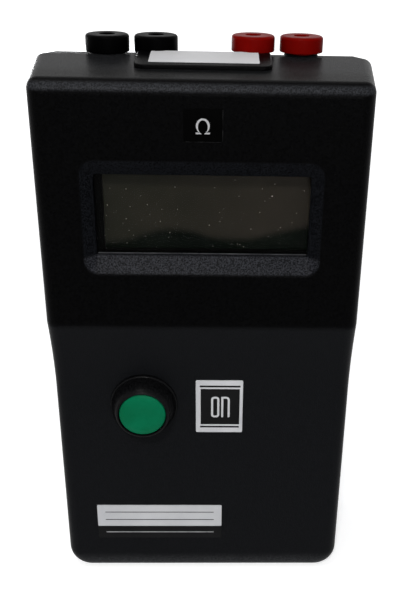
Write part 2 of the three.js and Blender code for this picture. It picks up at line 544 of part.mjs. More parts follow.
// Terminals
for (const { side, place, at } of POSTS) {
  const t = TERMINAL;
  const x = at * t.spacing;
  const base = landTopZ + (side === 'red' ? t.redLift : t.blackLift);
  const look = side === 'red' ? 'red' : 'gloss';
  const top = base + t.headHeight;
  const bore = t.postRadius + RUNNING;
  const nutTop = landFootZ;
  const postFoot = nutTop - t.postBelow;
  const postTop = top - t.mouthDepth - GAP;
  const pocketLow = base + t.insertFloor;
  const pocketHigh = pocketLow + t.insertHeight + 2 * RUNNING;
  const at0 = (profile, sides) => standing(profile, sides, x, terminalY);
  const rounding = numbers(0, FILLET_STEPS - 1).map((i) => {
    const angle = (i / (FILLET_STEPS - 1)) * RIGHT_ANGLE;
    return [t.headRadius - t.headEdge * (1 - Math.cos(angle)), top - t.headEdge * (1 - Math.sin(angle))];
  });
  add(`terminal_cap_${side}_${place}`, at0([
    [bore, base], [t.headRadius - t.footEdge, base], [t.headRadius, base + t.footEdge], ...rounding,
    [t.mouthRadius, top], [t.mouthRadius, top - t.mouthDepth], [bore, top - t.mouthDepth],
    [bore, pocketHigh], [t.insertRadius + RUNNING, pocketHigh], [t.insertRadius + RUNNING, pocketLow],
    [bore, pocketLow], [bore, base],
  ], FINE), look);
  add(`terminal_insert_${side}_${place}`, at0(tube(t.insertRadius, bore, pocketLow + RUNNING,
    pocketHigh - RUNNING), ROUND), 'brass');
  add(`terminal_collar_${side}_${place}`, at0([
    [bore, nutTop], [t.spigotRadius, nutTop], [t.spigotRadius, landTopZ], [t.neckRadius, landTopZ],
    [t.neckRadius, base], [bore, base], [bore, nutTop],
  ], ROUND), look);
  const post = solid(at0([
    [0, postFoot - t.stemLength], [t.stemRadius, postFoot - t.stemLength], [t.stemRadius, postFoot],
    [t.postRadius, postFoot], [t.postRadius, postTop], [t.socketRadius, postTop],
    [t.socketRadius, postFoot + t.socketFloor], [0, postFoot + t.socketFloor],
  ], ROUND));
  const crossHole = rodZ(t.crossRadius, -t.postRadius - OVER, t.postRadius + OVER, 0, 0, t.crossSides)
    .rotateZ(Math.PI / t.crossSides).rotateY(RIGHT_ANGLE).translate(x, terminalY, base + t.crossRise);
  add(`terminal_post_${side}_${place}`, cut(post, [crossHole]), 'brass');
  const nut = solid(at0(bar(acrossFlats(t.nutFlats), nutTop - t.nutThick, nutTop), HEX));
  const nutBore = at0(bar(bore, nutTop - t.nutThick - OVER, nutTop + OVER), ROUND);
  add(`terminal_nut_${side}_${place}`, cut(nut, [nutBore]), 'steel');
}

// Battery, its snap and the cover
function battery() {
  const { width, height, edge, studX, studRadius, studHeight } = BATTERY;
  const can = solid(drawn(0, batteryLowZ + height / 2, [
    { y: batteryFrontY, width, height, corner: edge }, { y: batteryBackY, width, height, corner: edge },
  ]));
  const studs = [-1, 1].map((side) =>
    rodZ(studRadius, batteryTopZ - ROOT, batteryTopZ + studHeight, side * studX, batteryY));
  return join(can, studs);
}

function batterySnap() {
  const { snapWidth, snapDepth, studX, studRadius } = BATTERY;
  const plate = solid(block(-snapWidth / 2, snapWidth / 2, batteryY - snapDepth / 2, batteryY + snapDepth / 2,
    snapLowZ, snapTopZ));
  const sockets = [-1, 1].map((side) =>
    rodZ(studRadius + GAP, snapLowZ - OVER, batteryTopZ + BATTERY.studHeight + GAP, side * studX, batteryY));
  return cut(plate, sockets);
}

function batteryCover() {
  const plate = solid(panel(0, coverZ, coverWidth, coverHeight, COVER.corner, coverSeatY, backY));
  const tongueZ = openingHeight / 2 - GAP - COVER.tongueThick / 2;
  const tongues = [-1, 1].map((side) => slab(0, coverZ + side * tongueZ, COVER.tongueWidth, COVER.tongueThick,
    coverSeatY - COVER.tongueReach, coverSeatY + COVER.thick / 2));
  const gripTop = COVER.lowZ + coverHeight - COVER.gripInset;
  const grips = numbers(0, COVER.gripCount - 1).map((i) =>
    slab(0, gripTop - i * COVER.gripPitch, COVER.gripWidth, COVER.gripHeight,
      backY - COVER.gripDepth, backY + OVER));
  return cut(join(plate, tongues), grips);
}

add('battery', battery(), 'battery');
add('battery_snap', batterySnap(), 'rubber');
add('battery_cover', batteryCover(), 'shell');

// Case screws
for (const [name, x, z] of screwPlaces) {
  const headY = screwSeatY + SCREW.headThick;
  const tipY = CASE.partingY - SCREW.pilotDepth + SCREW.tipGap;
  const screw = solid(facing([
    [0, tipY], [SCREW.shankRadius, tipY], [SCREW.shankRadius, screwSeatY], [SCREW.headRadius, screwSeatY],
    [SCREW.headRadius, headY], [0, headY],
  ], SMALL, x, z));
  const reach = 2 * (SCREW.headRadius - SCREW.slotWidth);
  const slots = [[reach, SCREW.slotWidth], [SCREW.slotWidth, reach]].map(([width, height]) =>
    slab(x, z, width, height, headY - SCREW.slotDepth, headY + OVER));
  add(`case_screw_${name}`, cut(screw, slots), 'steel');
}

// Leads that the case holds all the way: each route is a list of points chosen by hand
const boardFrontY = mainY - GAP;
const stemFootZ = landFootZ - TERMINAL.postBelow - TERMINAL.stemLength - GAP;
const switchTailY = switchEndY + BUTTON.tailLength + GAP;

// A round lead, or a flat twin one where its two cores stand apart
function lead(points, half) {
  const path = new THREE.CatmullRomCurve3(points.map(([x, y, z]) => new THREE.Vector3(x, y, z)));
  const section = new THREE.Shape();
  for (const i of numbers(0, LEAD.sides - 1)) {
    const angle = ((i + 0.5) / LEAD.sides) * 2 * Math.PI;
    const [across, along] = [Math.cos(angle), Math.sin(angle)];
    const corner = [LEAD.radius * across + Math.sign(across) * half, LEAD.radius * along];
    if (i === 0) section.moveTo(...corner);
    else section.lineTo(...corner);
  }
  const steps = LEAD.stepsPerPoint * (points.length - 1);
  return new THREE.ExtrudeGeometry(section, { steps, bevelEnabled: false, extrudePath: path });
}

for (const { side, place, at } of POSTS) {
  const x = at * TERMINAL.spacing;
  const y = terminalY;
  add(`terminal_lead_${side}_${place}`, lead([
    [x, y, stemFootZ], [x, y, stemFootZ - 1.6], [x, y - 1.8, stemFootZ - 4.2], [x, y - 3.2, stemFootZ - 7.5],
    [x, y - 3, stemFootZ - 10.5], [x, y - 2.2, stemFootZ - 12.2], [x, boardFrontY, stemFootZ - 12.4],
  ], 0), side === 'red' ? 'red' : 'ink');
}
add('switch_lead', lead([
  [BUTTON.x, switchTailY, buttonZ], [BUTTON.x, 29.6, buttonZ + 0.2], [BUTTON.x, 31.2, buttonZ + 2.9],
  [BUTTON.x, 31.4, buttonZ + 7.9], [BUTTON.x, 31, mainLowZ - 3], [BUTTON.x, 31.2, mainLowZ + 3],
  [BUTTON.x, 32.2, mainLowZ + 5.2], [BUTTON.x, boardFrontY, mainLowZ + 5.4],
], LEAD.twinHalf), 'blue');
add('battery_lead', lead([
  [0, batteryY, snapTopZ + GAP], [0, batteryY - 0.2, trayTopZ - 1], [0, batteryY - 0.4, trayTopZ + 3.5],
  [0, 32.6, trayTopZ + 9], [0, 31.2, trayTopZ + 15], [0, 30.9, mainLowZ - 3], [0, 31.1, mainLowZ + 2],
  [0, 32.2, mainLowZ + 3.6], [0, boardFrontY, mainLowZ + 3.8],
], LEAD.twinHalf), 'red');

// The origin stands under the middle of the whole ohmmeter, on the surface that it stands on
ohmmeter.position.y = -(backY + capTopY) / 2;

export default ohmmeter;
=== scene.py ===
# A handheld ohmmeter on a pale studio floor. Sizes in the tables are millimetres in the part's own drawing:
# X right, Y back from the front of the display section, Z up from the bottom end.
import math
import random
import bpy
import bmesh
from mathutils import Matrix, Vector


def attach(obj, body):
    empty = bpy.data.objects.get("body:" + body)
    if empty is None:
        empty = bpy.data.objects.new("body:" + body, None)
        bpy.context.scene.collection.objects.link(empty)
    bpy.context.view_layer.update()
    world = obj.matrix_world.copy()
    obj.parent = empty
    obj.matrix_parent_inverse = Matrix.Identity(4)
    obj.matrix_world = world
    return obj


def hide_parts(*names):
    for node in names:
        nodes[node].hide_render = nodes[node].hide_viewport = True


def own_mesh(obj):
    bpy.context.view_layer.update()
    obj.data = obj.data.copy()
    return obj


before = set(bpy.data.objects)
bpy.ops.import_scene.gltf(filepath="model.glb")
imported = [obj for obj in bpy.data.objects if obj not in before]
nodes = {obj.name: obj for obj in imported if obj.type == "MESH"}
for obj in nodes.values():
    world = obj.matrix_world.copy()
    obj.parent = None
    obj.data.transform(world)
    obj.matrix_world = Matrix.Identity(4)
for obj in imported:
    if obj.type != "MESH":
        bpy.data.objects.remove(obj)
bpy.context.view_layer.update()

MM = 0.001
SHIFT_Y = -21.65
WORLD_LIGHT = 0.24
PHOTO_WIDTH = 412
SENSOR_WIDTH = 36
FOCAL_PIXELS = 827.98
SHIFT_PIXELS = -40
CAMERA_DEGREES = (-1.95, 25.19, 1.34)
CAMERA_PLACE = (5.555, -230.11, 219.19)
FLOOR_REACH = 3


def at(x, y, z):
    return Vector((x * MM, (y + SHIFT_Y) * MM, z * MM))


# Camera and light
def photo_camera():
    yaw, pitch, roll = (math.radians(v) for v in CAMERA_DEGREES)
    turn = Matrix(((math.cos(yaw), math.sin(yaw), 0), (-math.sin(yaw), math.cos(yaw), 0), (0, 0, 1)))
    look = Matrix(((1, 0, 0), (0, 0, -1), (0, 1, 0)))
    tilt = Matrix(((1, 0, 0), (0, math.cos(pitch), -math.sin(pitch)), (0, math.sin(pitch), math.cos(pitch))))
    bank = Matrix(((math.cos(roll), -math.sin(roll), 0), (math.sin(roll), math.cos(roll), 0), (0, 0, 1)))
    right, down, ahead = bank @ tilt @ look @ turn
    place = Matrix((right, -down, -ahead)).transposed().to_4x4()
    place.translation = at(*CAMERA_PLACE)
    data = bpy.data.cameras.new("photo_camera")
    data.sensor_fit = "HORIZONTAL"
    data.sensor_width = SENSOR_WIDTH
    data.lens = FOCAL_PIXELS / PHOTO_WIDTH * SENSOR_WIDTH
    data.shift_x = SHIFT_PIXELS / PHOTO_WIDTH
    data.clip_start = 0.005
    camera = bpy.data.objects.new("photo_camera", data)
    bpy.context.scene.collection.objects.link(camera)
    camera.matrix_world = place
    bpy.context.scene.camera = camera


def area_light(name, place, target, size, power, colour=(1, 1, 1)):
    data = bpy.data.lights.new(name, "AREA")
    data.shape = "RECTANGLE"
    data.size, data.size_y = size
    data.energy = power
    data.color = colour
    light = bpy.data.objects.new(name, data)
    light.visible_camera = False
    light.location = place
    light.rotation_euler = (Vector(target) - Vector(place)).to_track_quat("-Z", "Y").to_euler()
    bpy.context.scene.collection.objects.link(light)


def switch_node(tree, signals):
    """One where any of the light path's signals is on."""
    path = tree.nodes.new("ShaderNodeLightPath")
    value = path.outputs[signals[0]]
    for signal in signals[1:]:
        either = tree.nodes.new("ShaderNodeMath")
        either.operation = "MAXIMUM"
        tree.links.new(value, either.inputs[0])
        tree.links.new(path.outputs[signal], either.inputs[1])
        value = either.outputs[0]
    return value


def mix_shaders(tree, fac, first, second):
    mix = tree.nodes.new("ShaderNodeMixShader")
    tree.links.new(fac, mix.inputs[0])
    tree.links.new(first, mix.inputs[1])
    tree.links.new(second, mix.inputs[2])
    return mix.outputs[0]


def white_world(scene):
    """Soft light from all round, which the camera and reflections see as plain white."""
    world = bpy.data.worlds.new("studio")
    scene.world = world
    world.use_nodes = True
    tree = world.node_tree
    lit = tree.nodes["Background"]
    lit.inputs["Color"].default_value = (0.95, 0.97, 1, 1)
    lit.inputs["Strength"].default_value = WORLD_LIGHT
    white = tree.nodes.new("ShaderNodeBackground")
    white.inputs["Color"].default_value = (1, 1, 1, 1)
    seen = switch_node(tree, ["Is Camera Ray", "Is Glossy Ray", "Is Transmission Ray"])
    shown = mix_shaders(tree, seen, lit.outputs[0], white.outputs[0])
    tree.links.new(shown, tree.nodes["World Output"].inputs["Surface"])


def white_floor(scene):
    """A pale floor that reads as white to the camera and keeps the object's shadow."""
    mesh = bpy.data.meshes.new("floor")
    corners = [(x * FLOOR_REACH, y * FLOOR_REACH, 0) for x, y in ((-1, -1), (1, -1), (1, 1), (-1, 1))]
    mesh.from_pydata(corners, [], [(0, 1, 2, 3)])
    floor = bpy.data.objects.new("floor", mesh)
    scene.collection.objects.link(floor)
    material = bpy.data.materials.new("floor")
    material.use_nodes = True
    tree = material.node_tree
    shader = tree.nodes["Principled BSDF"]
    shader.inputs["Base Color"].default_value = (0.8, 0.8, 0.81, 1)
    shader.inputs["Roughness"].default_value = 0.9
    shader.inputs["Specular IOR Level"].default_value = 0.1
    where = tree.nodes.new("ShaderNodeTexCoord")
    reach = tree.nodes.new("ShaderNodeVectorMath")
    reach.operation = "LENGTH"
    tree.links.new(where.outputs["Object"], reach.inputs[0])
    level = tree.nodes.new("ShaderNodeMapRange")
    level.inputs["From Min"].default_value = 0.3
    level.inputs["From Max"].default_value = 1.1
    level.inputs["To Min"].default_value = 0.62
    tree.links.new(reach.outputs["Value"], level.inputs["Value"])
    glow = tree.nodes.new("ShaderNodeEmission")
    tree.links.new(level.outputs["Result"], glow.inputs["Strength"])
    both = tree.nodes.new("ShaderNodeAddShader")
    tree.links.new(shader.outputs[0], both.inputs[0])
    tree.links.new(glow.outputs[0], both.inputs[1])
    white = tree.nodes.new("ShaderNodeEmission")
    shown = mix_shaders(tree, switch_node(tree, ["Is Camera Ray"]), shader.outputs[0], both.outputs[0])
    mirrored = switch_node(tree, ["Is Glossy Ray", "Is Transmission Ray"])
    shown = mix_shaders(tree, mirrored, shown, white.outputs[0])
    tree.links.new(shown, tree.nodes["Material Output"].inputs["Surface"])
    mesh.materials.append(material)


def studio():
    scene = bpy.context.scene
    scene.view_settings.view_transform = "Standard"
    white_world(scene)
    white_floor(scene)
    area_light("key_front", (-0.12, -0.85, 0.95), (0, 0, 0.12), (0.16, 0.16), 5.4, (1, 0.99, 0.97))
    area_light("key_above", (-0.25, -0.12, 1.3), (0, 0, 0.12), (0.7, 0.25), 3.5, (1, 0.99, 0.97))
    area_light("fill_front", (0.2, -1.25, 0.34), (0, 0, 0.08), (0.8, 0.1), 3.1, (0.97, 0.98, 1))
    area_light("fill_back", (-0.6, 1.1, 0.11), (0, 0, 0.09), (0.9, 0.12), 4, (0.97, 0.98, 1))


# Materials
def ramp_between(tree, fac, low, high, start=0.35, end=0.65):
    ramp = tree.nodes.new("ShaderNodeValToRGB")
    ramp.color_ramp.elements[0].position = start
    ramp.color_ramp.elements[1].position = end
    ramp.color_ramp.elements[0].color = (*low, 1)
    ramp.color_ramp.elements[1].color = (*high, 1)
    tree.links.new(fac, ramp.inputs["Fac"])
    return ramp.outputs["Color"]


def blend_colours(tree, fac, first, second):
    mix = tree.nodes.new("ShaderNodeMix")
    mix.data_type = "RGBA"
    tree.links.new(fac, mix.inputs["Factor"])
    tree.links.new(first, mix.inputs["A"])
    tree.links.new(second, mix.inputs["B"])
    return mix.outputs["Result"]


def noise(tree, scale, detail=3):
    where = tree.nodes.new("ShaderNodeTexCoord")
    node = tree.nodes.new("ShaderNodeTexNoise")
    node.inputs["Scale"].default_value = scale
    node.inputs["Detail"].default_value = detail
    tree.links.new(where.outputs["Object"], node.inputs["Vector"])
    return node.outputs["Fac"]


def finish(name, low, high, rough, grain=2200, depth=0.00001, mottle=60, spread=0.05, specular=0.5,
           metallic=0.0, strength=0.5, alpha=1.0):
    """A procedural material: mottled colour, uneven roughness and a fine moulded or printed grain."""
    material = bpy.data.materials.new(name)
    material.use_nodes = True
    tree = material.node_tree
    shader = tree.nodes["Principled BSDF"]
    tree.links.new(ramp_between(tree, noise(tree, mottle), low, high), shader.inputs["Base Color"])
    spans = tree.nodes.new("ShaderNodeMapRange")
    spans.inputs["From Min"].default_value = 0.3
    spans.inputs["From Max"].default_value = 0.7
    spans.inputs["To Min"].default_value = max(rough - spread, 0.02)
    spans.inputs["To Max"].default_value = rough + spread
    tree.links.new(noise(tree, mottle * 4, 5), spans.inputs["Value"])
    tree.links.new(spans.outputs["Result"], shader.inputs["Roughness"])
    bump = tree.nodes.new("ShaderNodeBump")
    bump.inputs["Strength"].default_value = strength
    bump.inputs["Distance"].default_value = depth
    tree.links.new(noise(tree, grain, 2), bump.inputs["Height"])
    tree.links.new(bump.outputs["Normal"], shader.inputs["Normal"])
    shader.inputs["Specular IOR Level"].default_value = specular
    shader.inputs["Metallic"].default_value = metallic
    shader.inputs["Alpha"].default_value = alpha
    return material


def fade(tree, value, start, end):
    """Rises softly from nought at start to one at end."""
    level = tree.nodes.new("ShaderNodeMapRange")
    level.interpolation_type = "SMOOTHSTEP"
    level.inputs["From Min"].default_value = start
    level.inputs["From Max"].default_value = end
    tree.links.new(value, level.inputs["Value"])
    return level.outputs["Result"]


def near(tree, value, middle, reach):
    """One where the value lies within reach of the middle."""
    test = tree.nodes.new("ShaderNodeMath")
    test.operation = "COMPARE"
    test.inputs[1].default_value = middle
    test.inputs[2].default_value = reach
    tree.links.new(value, test.inputs[0])
    return test.outputs[0]


def product(tree, factors):
    value = factors[0]
    for factor in factors[1:]:
        both = tree.nodes.new("ShaderNodeMath")
        both.operation = "MULTIPLY"
        tree.links.new(value, both.inputs[0])
        tree.links.new(factor, both.inputs[1])
        value = both.outputs[0]
    return value


def painted_light_and_tones(material, name, layers):
    """The same skin with other tones in places: each layer is a mask's function of x, y, z, and two tones. On
    the case most layers are painted light; the battery's layer is its bare metal ends.
    """
    copy = material.copy()
    copy.name = name
    tree = copy.node_tree
    shader = tree.nodes["Principled BSDF"]
    colour = shader.inputs["Base Color"].links[0].from_socket
    where = tree.nodes.new("ShaderNodeTexCoord")
    split = tree.nodes.new("ShaderNodeSeparateXYZ")
    tree.links.new(where.outputs["Object"], split.inputs[0])
    grain = noise(tree, 2300, 2)
    for mask, low, high in layers:
        tones = ramp_between(tree, grain, low, high, 0.4, 0.62)
        colour = blend_colours(tree, mask(tree, *(split.outputs[axis] for axis in "XYZ")), colour, tones)
    tree.links.new(colour, shader.inputs["Base Color"])
    return copy


# Where the painted light and the other tones change, in metres: soft fades from start to full, and spans as
# middle and reach
LOWER_PART_Z = 0.1035, 0.1005
SIDE_X = 0.0462, 0.0515
RECESS_X, RECESS_Z = (0, 0.0385), (0.1375, 0.0205)
SLOPE_Y = -0.0216, -0.0211
LOWER_SLOPE_Z = 0.1254, 0.1246
UPPER_EDGE_FOOT_Z, UPPER_EDGE_TOP_Z = (0.1739, 0.1752), (0.1771, 0.176)
TOP_END_Z = 0.178, 0.1786
FOOT_Z = 0.0078, 0.003
JACKET_Z = 0.0329, 0.019


# The face below the fold, where sheen is painted
def on_lower_part_sheen(tree, x, y, z):
    return fade(tree, z, *LOWER_PART_Z)


# The side edges, partly wear and partly painted sheen
def on_sides(tree, x, y, z):
    size = tree.nodes.new("ShaderNodeMath")
    size.operation = "ABSOLUTE"
    tree.links.new(x, size.inputs[0])
    return fade(tree, size.outputs[0], *SIDE_X)


# The slopes of the display recess, where sheen is painted
def on_slopes(tree, x, y, z):
    return product(tree, [near(tree, x, *RECESS_X), near(tree, z, *RECESS_Z), fade(tree, y, *SLOPE_Y)])


# The lower slope of the recess, facing up, where a highlight is painted
def on_lower_slope_highlight(tree, x, y, z):
    return product(tree, [on_slopes(tree, x, y, z), fade(tree, z, *LOWER_SLOPE_Z)])


# The rounded top front edge, where a highlight is painted
def on_upper_edge_highlight(tree, x, y, z):
    return product(tree, [fade(tree, z, *UPPER_EDGE_FOOT_Z), fade(tree, z, *UPPER_EDGE_TOP_Z)])


# The top end, which faces the light from above, where light is painted
def on_top_end(tree, x, y, z):
    return fade(tree, z, *TOP_END_Z)


def on_battery_ends(tree, x, y, z):
    away = tree.nodes.new("ShaderNodeMath")
    away.operation = "SUBTRACT"
    away.inputs[0].default_value = 1
    tree.links.new(near(tree, z, *JACKET_Z), away.inputs[1])
    return away.outputs[0]


# The rounded foot edge, where a reflection is painted
def on_foot_reflection(tree, x, y, z):
    return fade(tree, z, *FOOT_Z)


# The dark wave on the display: its line across the glass, and its heights in metres
GLASS_HALF = 0.032
WAVE_POINTS = [(0, 0.12), (0.12, 0.2), (0.24, 0.5), (0.33, 0.66), (0.44, 0.6), (0.55, 0.36), (0.68, 0.3),
               (0.82, 0.52), (1, 0.86)]
WAVE_HEIGHT, WAVE_FOOT_Z = 0.0078, 0.1258
WAVE_FADE = -0.001, 0.0024


def display_glass():
    """The unlit display: grey-green on the left, browner on the right, with a dark wave low on it."""
    material = bpy.data.materials.new("display_glass")
    material.use_nodes = True
    tree = material.node_tree
    shader = tree.nodes["Principled BSDF"]
    where = tree.nodes.new("ShaderNodeTexCoord")
    split = tree.nodes.new("ShaderNodeSeparateXYZ")
    tree.links.new(where.outputs["Object"], split.inputs[0])
    across = tree.nodes.new("ShaderNodeMapRange")
    across.inputs["From Min"].default_value = -GLASS_HALF
    across.inputs["From Max"].default_value = GLASS_HALF
    tree.links.new(split.outputs["X"], across.inputs["Value"])
    left = ramp_between(tree, noise(tree, 70), (0.025, 0.0262, 0.0185), (0.035, 0.034, 0.0245))
    right = ramp_between(tree, noise(tree, 60), (0.045, 0.0385, 0.0295), (0.06, 0.05, 0.039))
    field = blend_colours(tree, across.outputs["Result"], left, right)
    wave = tree.nodes.new("ShaderNodeFloatCurve")
    curve = wave.mapping.curves[0]
    curve.points[0].location = WAVE_POINTS[0]
    curve.points[1].location = WAVE_POINTS[-1]
    for point in WAVE_POINTS[1:-1]:
        curve.points.new(*point)
    wave.mapping.update()
    tree.links.new(across.outputs["Result"], wave.inputs["Value"])
    lift = tree.nodes.new("ShaderNodeMath")
    lift.operation = "MULTIPLY_ADD"
    lift.inputs[1].default_value = WAVE_HEIGHT
    lift.inputs[2].default_value = WAVE_FOOT_Z
    tree.links.new(wave.outputs["Value"], lift.inputs[0])
    below = tree.nodes.new("ShaderNodeMath")
    below.operation = "SUBTRACT"
    tree.links.new(split.outputs["Z"], below.inputs[0])
    tree.links.new(lift.outputs[0], below.inputs[1])
    above = fade(tree, below.outputs[0], *WAVE_FADE)
    dark = ramp_between(tree, noise(tree, 90, 2), (0.0025, 0.0052, 0.0034), (0.006, 0.0092, 0.0062))
    tree.links.new(blend_colours(tree, above, dark, field), shader.inputs["Base Color"])
    shader.inputs["Roughness"].default_value = 0.25
    shader.inputs["Specular IOR Level"].default_value = 0.04
    return material


shell_skin = finish("shell_skin", (0.0004, 0.0004, 0.0005), (0.0016, 0.0016, 0.0018), 0.28, grain=2300,
                    depth=0.00008, mottle=1500, specular=0.02, strength=1.0)
plain_skin = finish("plain_skin", (0.0115, 0.012, 0.013), (0.0175, 0.018, 0.0195), 0.55, grain=2300,
                    depth=0.00008, mottle=1500, specular=0.03, strength=1.0)
# Tones of the front skin's layers: side edges partly wear and partly painted sheen, lower face painted sheen,
# top end painted light
SIDE_WEAR_AND_SHEEN = (0.014, 0.0145, 0.0158), (0.021, 0.0215, 0.023)
LOWER_FACE_PAINTED_SHEEN = (0.0055, 0.006, 0.0068), (0.0078, 0.0082, 0.0094)
TOP_END_PAINTED_LIGHT = (0.005, 0.0052, 0.0058), (0.018, 0.0185, 0.02)
# The front case: near-black plastic whose layers paint light as base tones
front_painted_light_skin = painted_light_and_tones(shell_skin, "front_painted_light_skin", [
    # Face below the fold: painted sheen, lighter than the face above
    (on_lower_part_sheen, *LOWER_FACE_PAINTED_SHEEN),
    # Slopes of the display recess: painted sheen
    (on_slopes, (0.0006, 0.0008, 0.0013), (0.0072, 0.008, 0.0102)),
    # Lower slope of the recess: painted highlight, speckled
    (on_lower_slope_highlight, (0.004, 0.0043, 0.0054), (0.032, 0.033, 0.039)),
    # Rounded top front edge: painted highlight, speckled
    (on_upper_edge_highlight, (0.011, 0.0114, 0.0128), (0.036, 0.0375, 0.042)),
    # Top end: painted light, lighter than the face
    (on_top_end, *TOP_END_PAINTED_LIGHT),
    # Rounded foot edge: painted reflection of the floor
    (on_foot_reflection, (0.02, 0.0205, 0.022), (0.04, 0.041, 0.043)),
    # Side edges: partly wear, partly painted sheen
    (on_sides, *SIDE_WEAR_AND_SHEEN)])
# The rear case: its top end takes the same painted light as the front's
rear_skin = painted_light_and_tones(plain_skin, "rear_skin", [(on_top_end, *TOP_END_PAINTED_LIGHT)])
gloss_black = finish("gloss_black", (0.0002, 0.0002, 0.0003), (0.0004, 0.0004, 0.0005), 0.42, grain=700,
                     depth=0.000004, mottle=90, specular=0.014, strength=0.3)
bezel_black = finish("bezel_black", (0.0014, 0.0014, 0.0016), (0.0065, 0.0066, 0.0072), 0.27, grain=2300,
                     depth=0.00006, mottle=1900, specular=0.05, strength=1.0)
gloss_red = finish("gloss_red", (0.145, 0.0012, 0.0005), (0.185, 0.0022, 0.0009), 0.36, grain=500,
                   depth=0.000006, mottle=70, specular=0.014, strength=0.3)
button_green = finish("button_green", (0.0006, 0.128, 0.052), (0.001, 0.154, 0.067), 0.3, grain=900,
                      depth=0.000008, mottle=120, specular=0.04, strength=0.3)
sticker_white = finish("sticker_white", (0.55, 0.555, 0.575), (0.61, 0.615, 0.63), 0.55, grain=1500,
                       depth=0.000006, mottle=90, specular=0.15, strength=0.3)
plate_white = finish("plate_white", (0.6, 0.6, 0.615), (0.67, 0.67, 0.685), 0.5, grain=1500, depth=0.000006,
                     mottle=90, specular=0.15, strength=0.3)
ink_black = finish("ink_black", (0.004, 0.0042, 0.0046), (0.0065, 0.0067, 0.007), 0.42, grain=1500,
                   depth=0.000006, mottle=90, specular=0.06, strength=0.3)
sticker_black = finish("sticker_black", (0.0006, 0.0006, 0.0006), (0.001, 0.001, 0.001), 0.3, grain=1200,
                       depth=0.000005, mottle=90, specular=0.008, strength=0.3)
ink_dark = finish("ink_dark", (0.008, 0.008, 0.009), (0.014, 0.014, 0.015), 0.5, grain=1500, depth=0.000006,
                  mottle=400, specular=0.06)
ink_pale = finish("ink_pale", (0.4, 0.4, 0.41), (0.48, 0.48, 0.49), 0.5, grain=1500, depth=0.000006,
                  mottle=400, specular=0.1)
edge_grey = finish("edge_grey", (0.002, 0.002, 0.002), (0.024, 0.024, 0.025), 0.6, mottle=600, specular=0.03)
frame_black = finish("frame_black", (0.0008, 0.0009, 0.0009), (0.0014, 0.0015, 0.0015), 0.5, specular=0.04)
window_clear = finish("window_clear", (0.004, 0.004, 0.004), (0.006, 0.006, 0.0055), 0.08, grain=300,
                      depth=0.000002, mottle=200, spread=0.03, specular=0.05, alpha=0.16)
# A pale strip that paints the highlight on the window's lower edge
lip_highlight_grey = finish("lip_highlight_grey", (0.05, 0.052, 0.056), (0.1, 0.102, 0.108), 0.3, grain=900, depth=0.00001,
                   mottle=260, specular=0.1)
dust_grey = finish("dust_grey", (0.32, 0.31, 0.29), (0.62, 0.6, 0.56), 0.9, mottle=900, specular=0.1)
brass_metal = finish("brass_metal", (0.42, 0.28, 0.15), (0.55, 0.44, 0.22), 0.28, grain=1200, mottle=200,
                     metallic=1)
steel_metal = finish("steel_metal", (0.42, 0.42, 0.41), (0.55, 0.55, 0.54), 0.32, grain=1200, mottle=200,
                     metallic=1)
board_green = finish("board_green", (0.012, 0.07, 0.025), (0.02, 0.10, 0.04), 0.4, grain=1500, mottle=300)
chip_black = finish("chip_black", (0.01, 0.01, 0.011), (0.018, 0.018, 0.02), 0.55, grain=2500, mottle=200,
                    specular=0.2)
part_blue = finish("part_blue", (0.02, 0.09, 0.32), (0.03, 0.13, 0.42), 0.35, grain=1500, mottle=200)
lead_red = finish("lead_red", (0.35, 0.01, 0.008), (0.45, 0.02, 0.015), 0.4, mottle=300)
lead_black = finish("lead_black", (0.008, 0.008, 0.008), (0.014, 0.014, 0.014), 0.4, mottle=300, specular=0.2)
rubber_grey = finish("rubber_grey", (0.02, 0.02, 0.02), (0.035, 0.035, 0.035), 0.85, grain=2500, mottle=300,
                     specular=0.2)
battery_can = finish("battery_can", (0.10, 0.13, 0.18), (0.14, 0.17, 0.23), 0.35, grain=900, metallic=0.5)
battery_skin = painted_light_and_tones(battery_can, "battery_skin", [(on_battery_ends, (0.3, 0.3, 0.3), (0.4, 0.4, 0.4))])
display_skin = display_glass()


# Mesh helpers
def dress(piece, material, body="case", node=None):
    """Gives a piece its material and its body, and lets it take the place of a node."""
    piece.data.materials.clear()
    piece.data.materials.append(material)
    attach(piece, body)
    if node:
        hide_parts(node)


def loose(mesh):
    thing = bpy.data.objects.new(mesh.name, mesh)
    bpy.context.scene.collection.objects.link(thing)
    return thing


def shade(mesh, angle):
    mesh.polygons.foreach_set("use_smooth", [True] * len(mesh.polygons))
    mesh.set_sharp_from_angle(angle=math.radians(angle))
    mesh.update()


def new_piece(mesh, material, body="case", node=None, angle=40):
    shade(mesh, angle)
    piece = loose(mesh)
    dress(piece, material, body, node)
    return piece


def even_normals(piece):
    """Keeps big flats flat where they run into fine fillets."""
    modifier = piece.modifiers.new("even_normals", "WEIGHTED_NORMAL")
    modifier.mode = "FACE_AREA"
    modifier.weight = 80
    modifier.keep_sharp = True


def mesh_of(name, vertices, faces):
    mesh = bpy.data.meshes.new(name)
    mesh.from_pydata([at(*v) for v in vertices], [], faces)
    made = bmesh.new()
    made.from_mesh(mesh)
    bmesh.ops.recalc_face_normals(made, faces=made.faces)
    made.to_mesh(mesh)
    made.free()
    return mesh


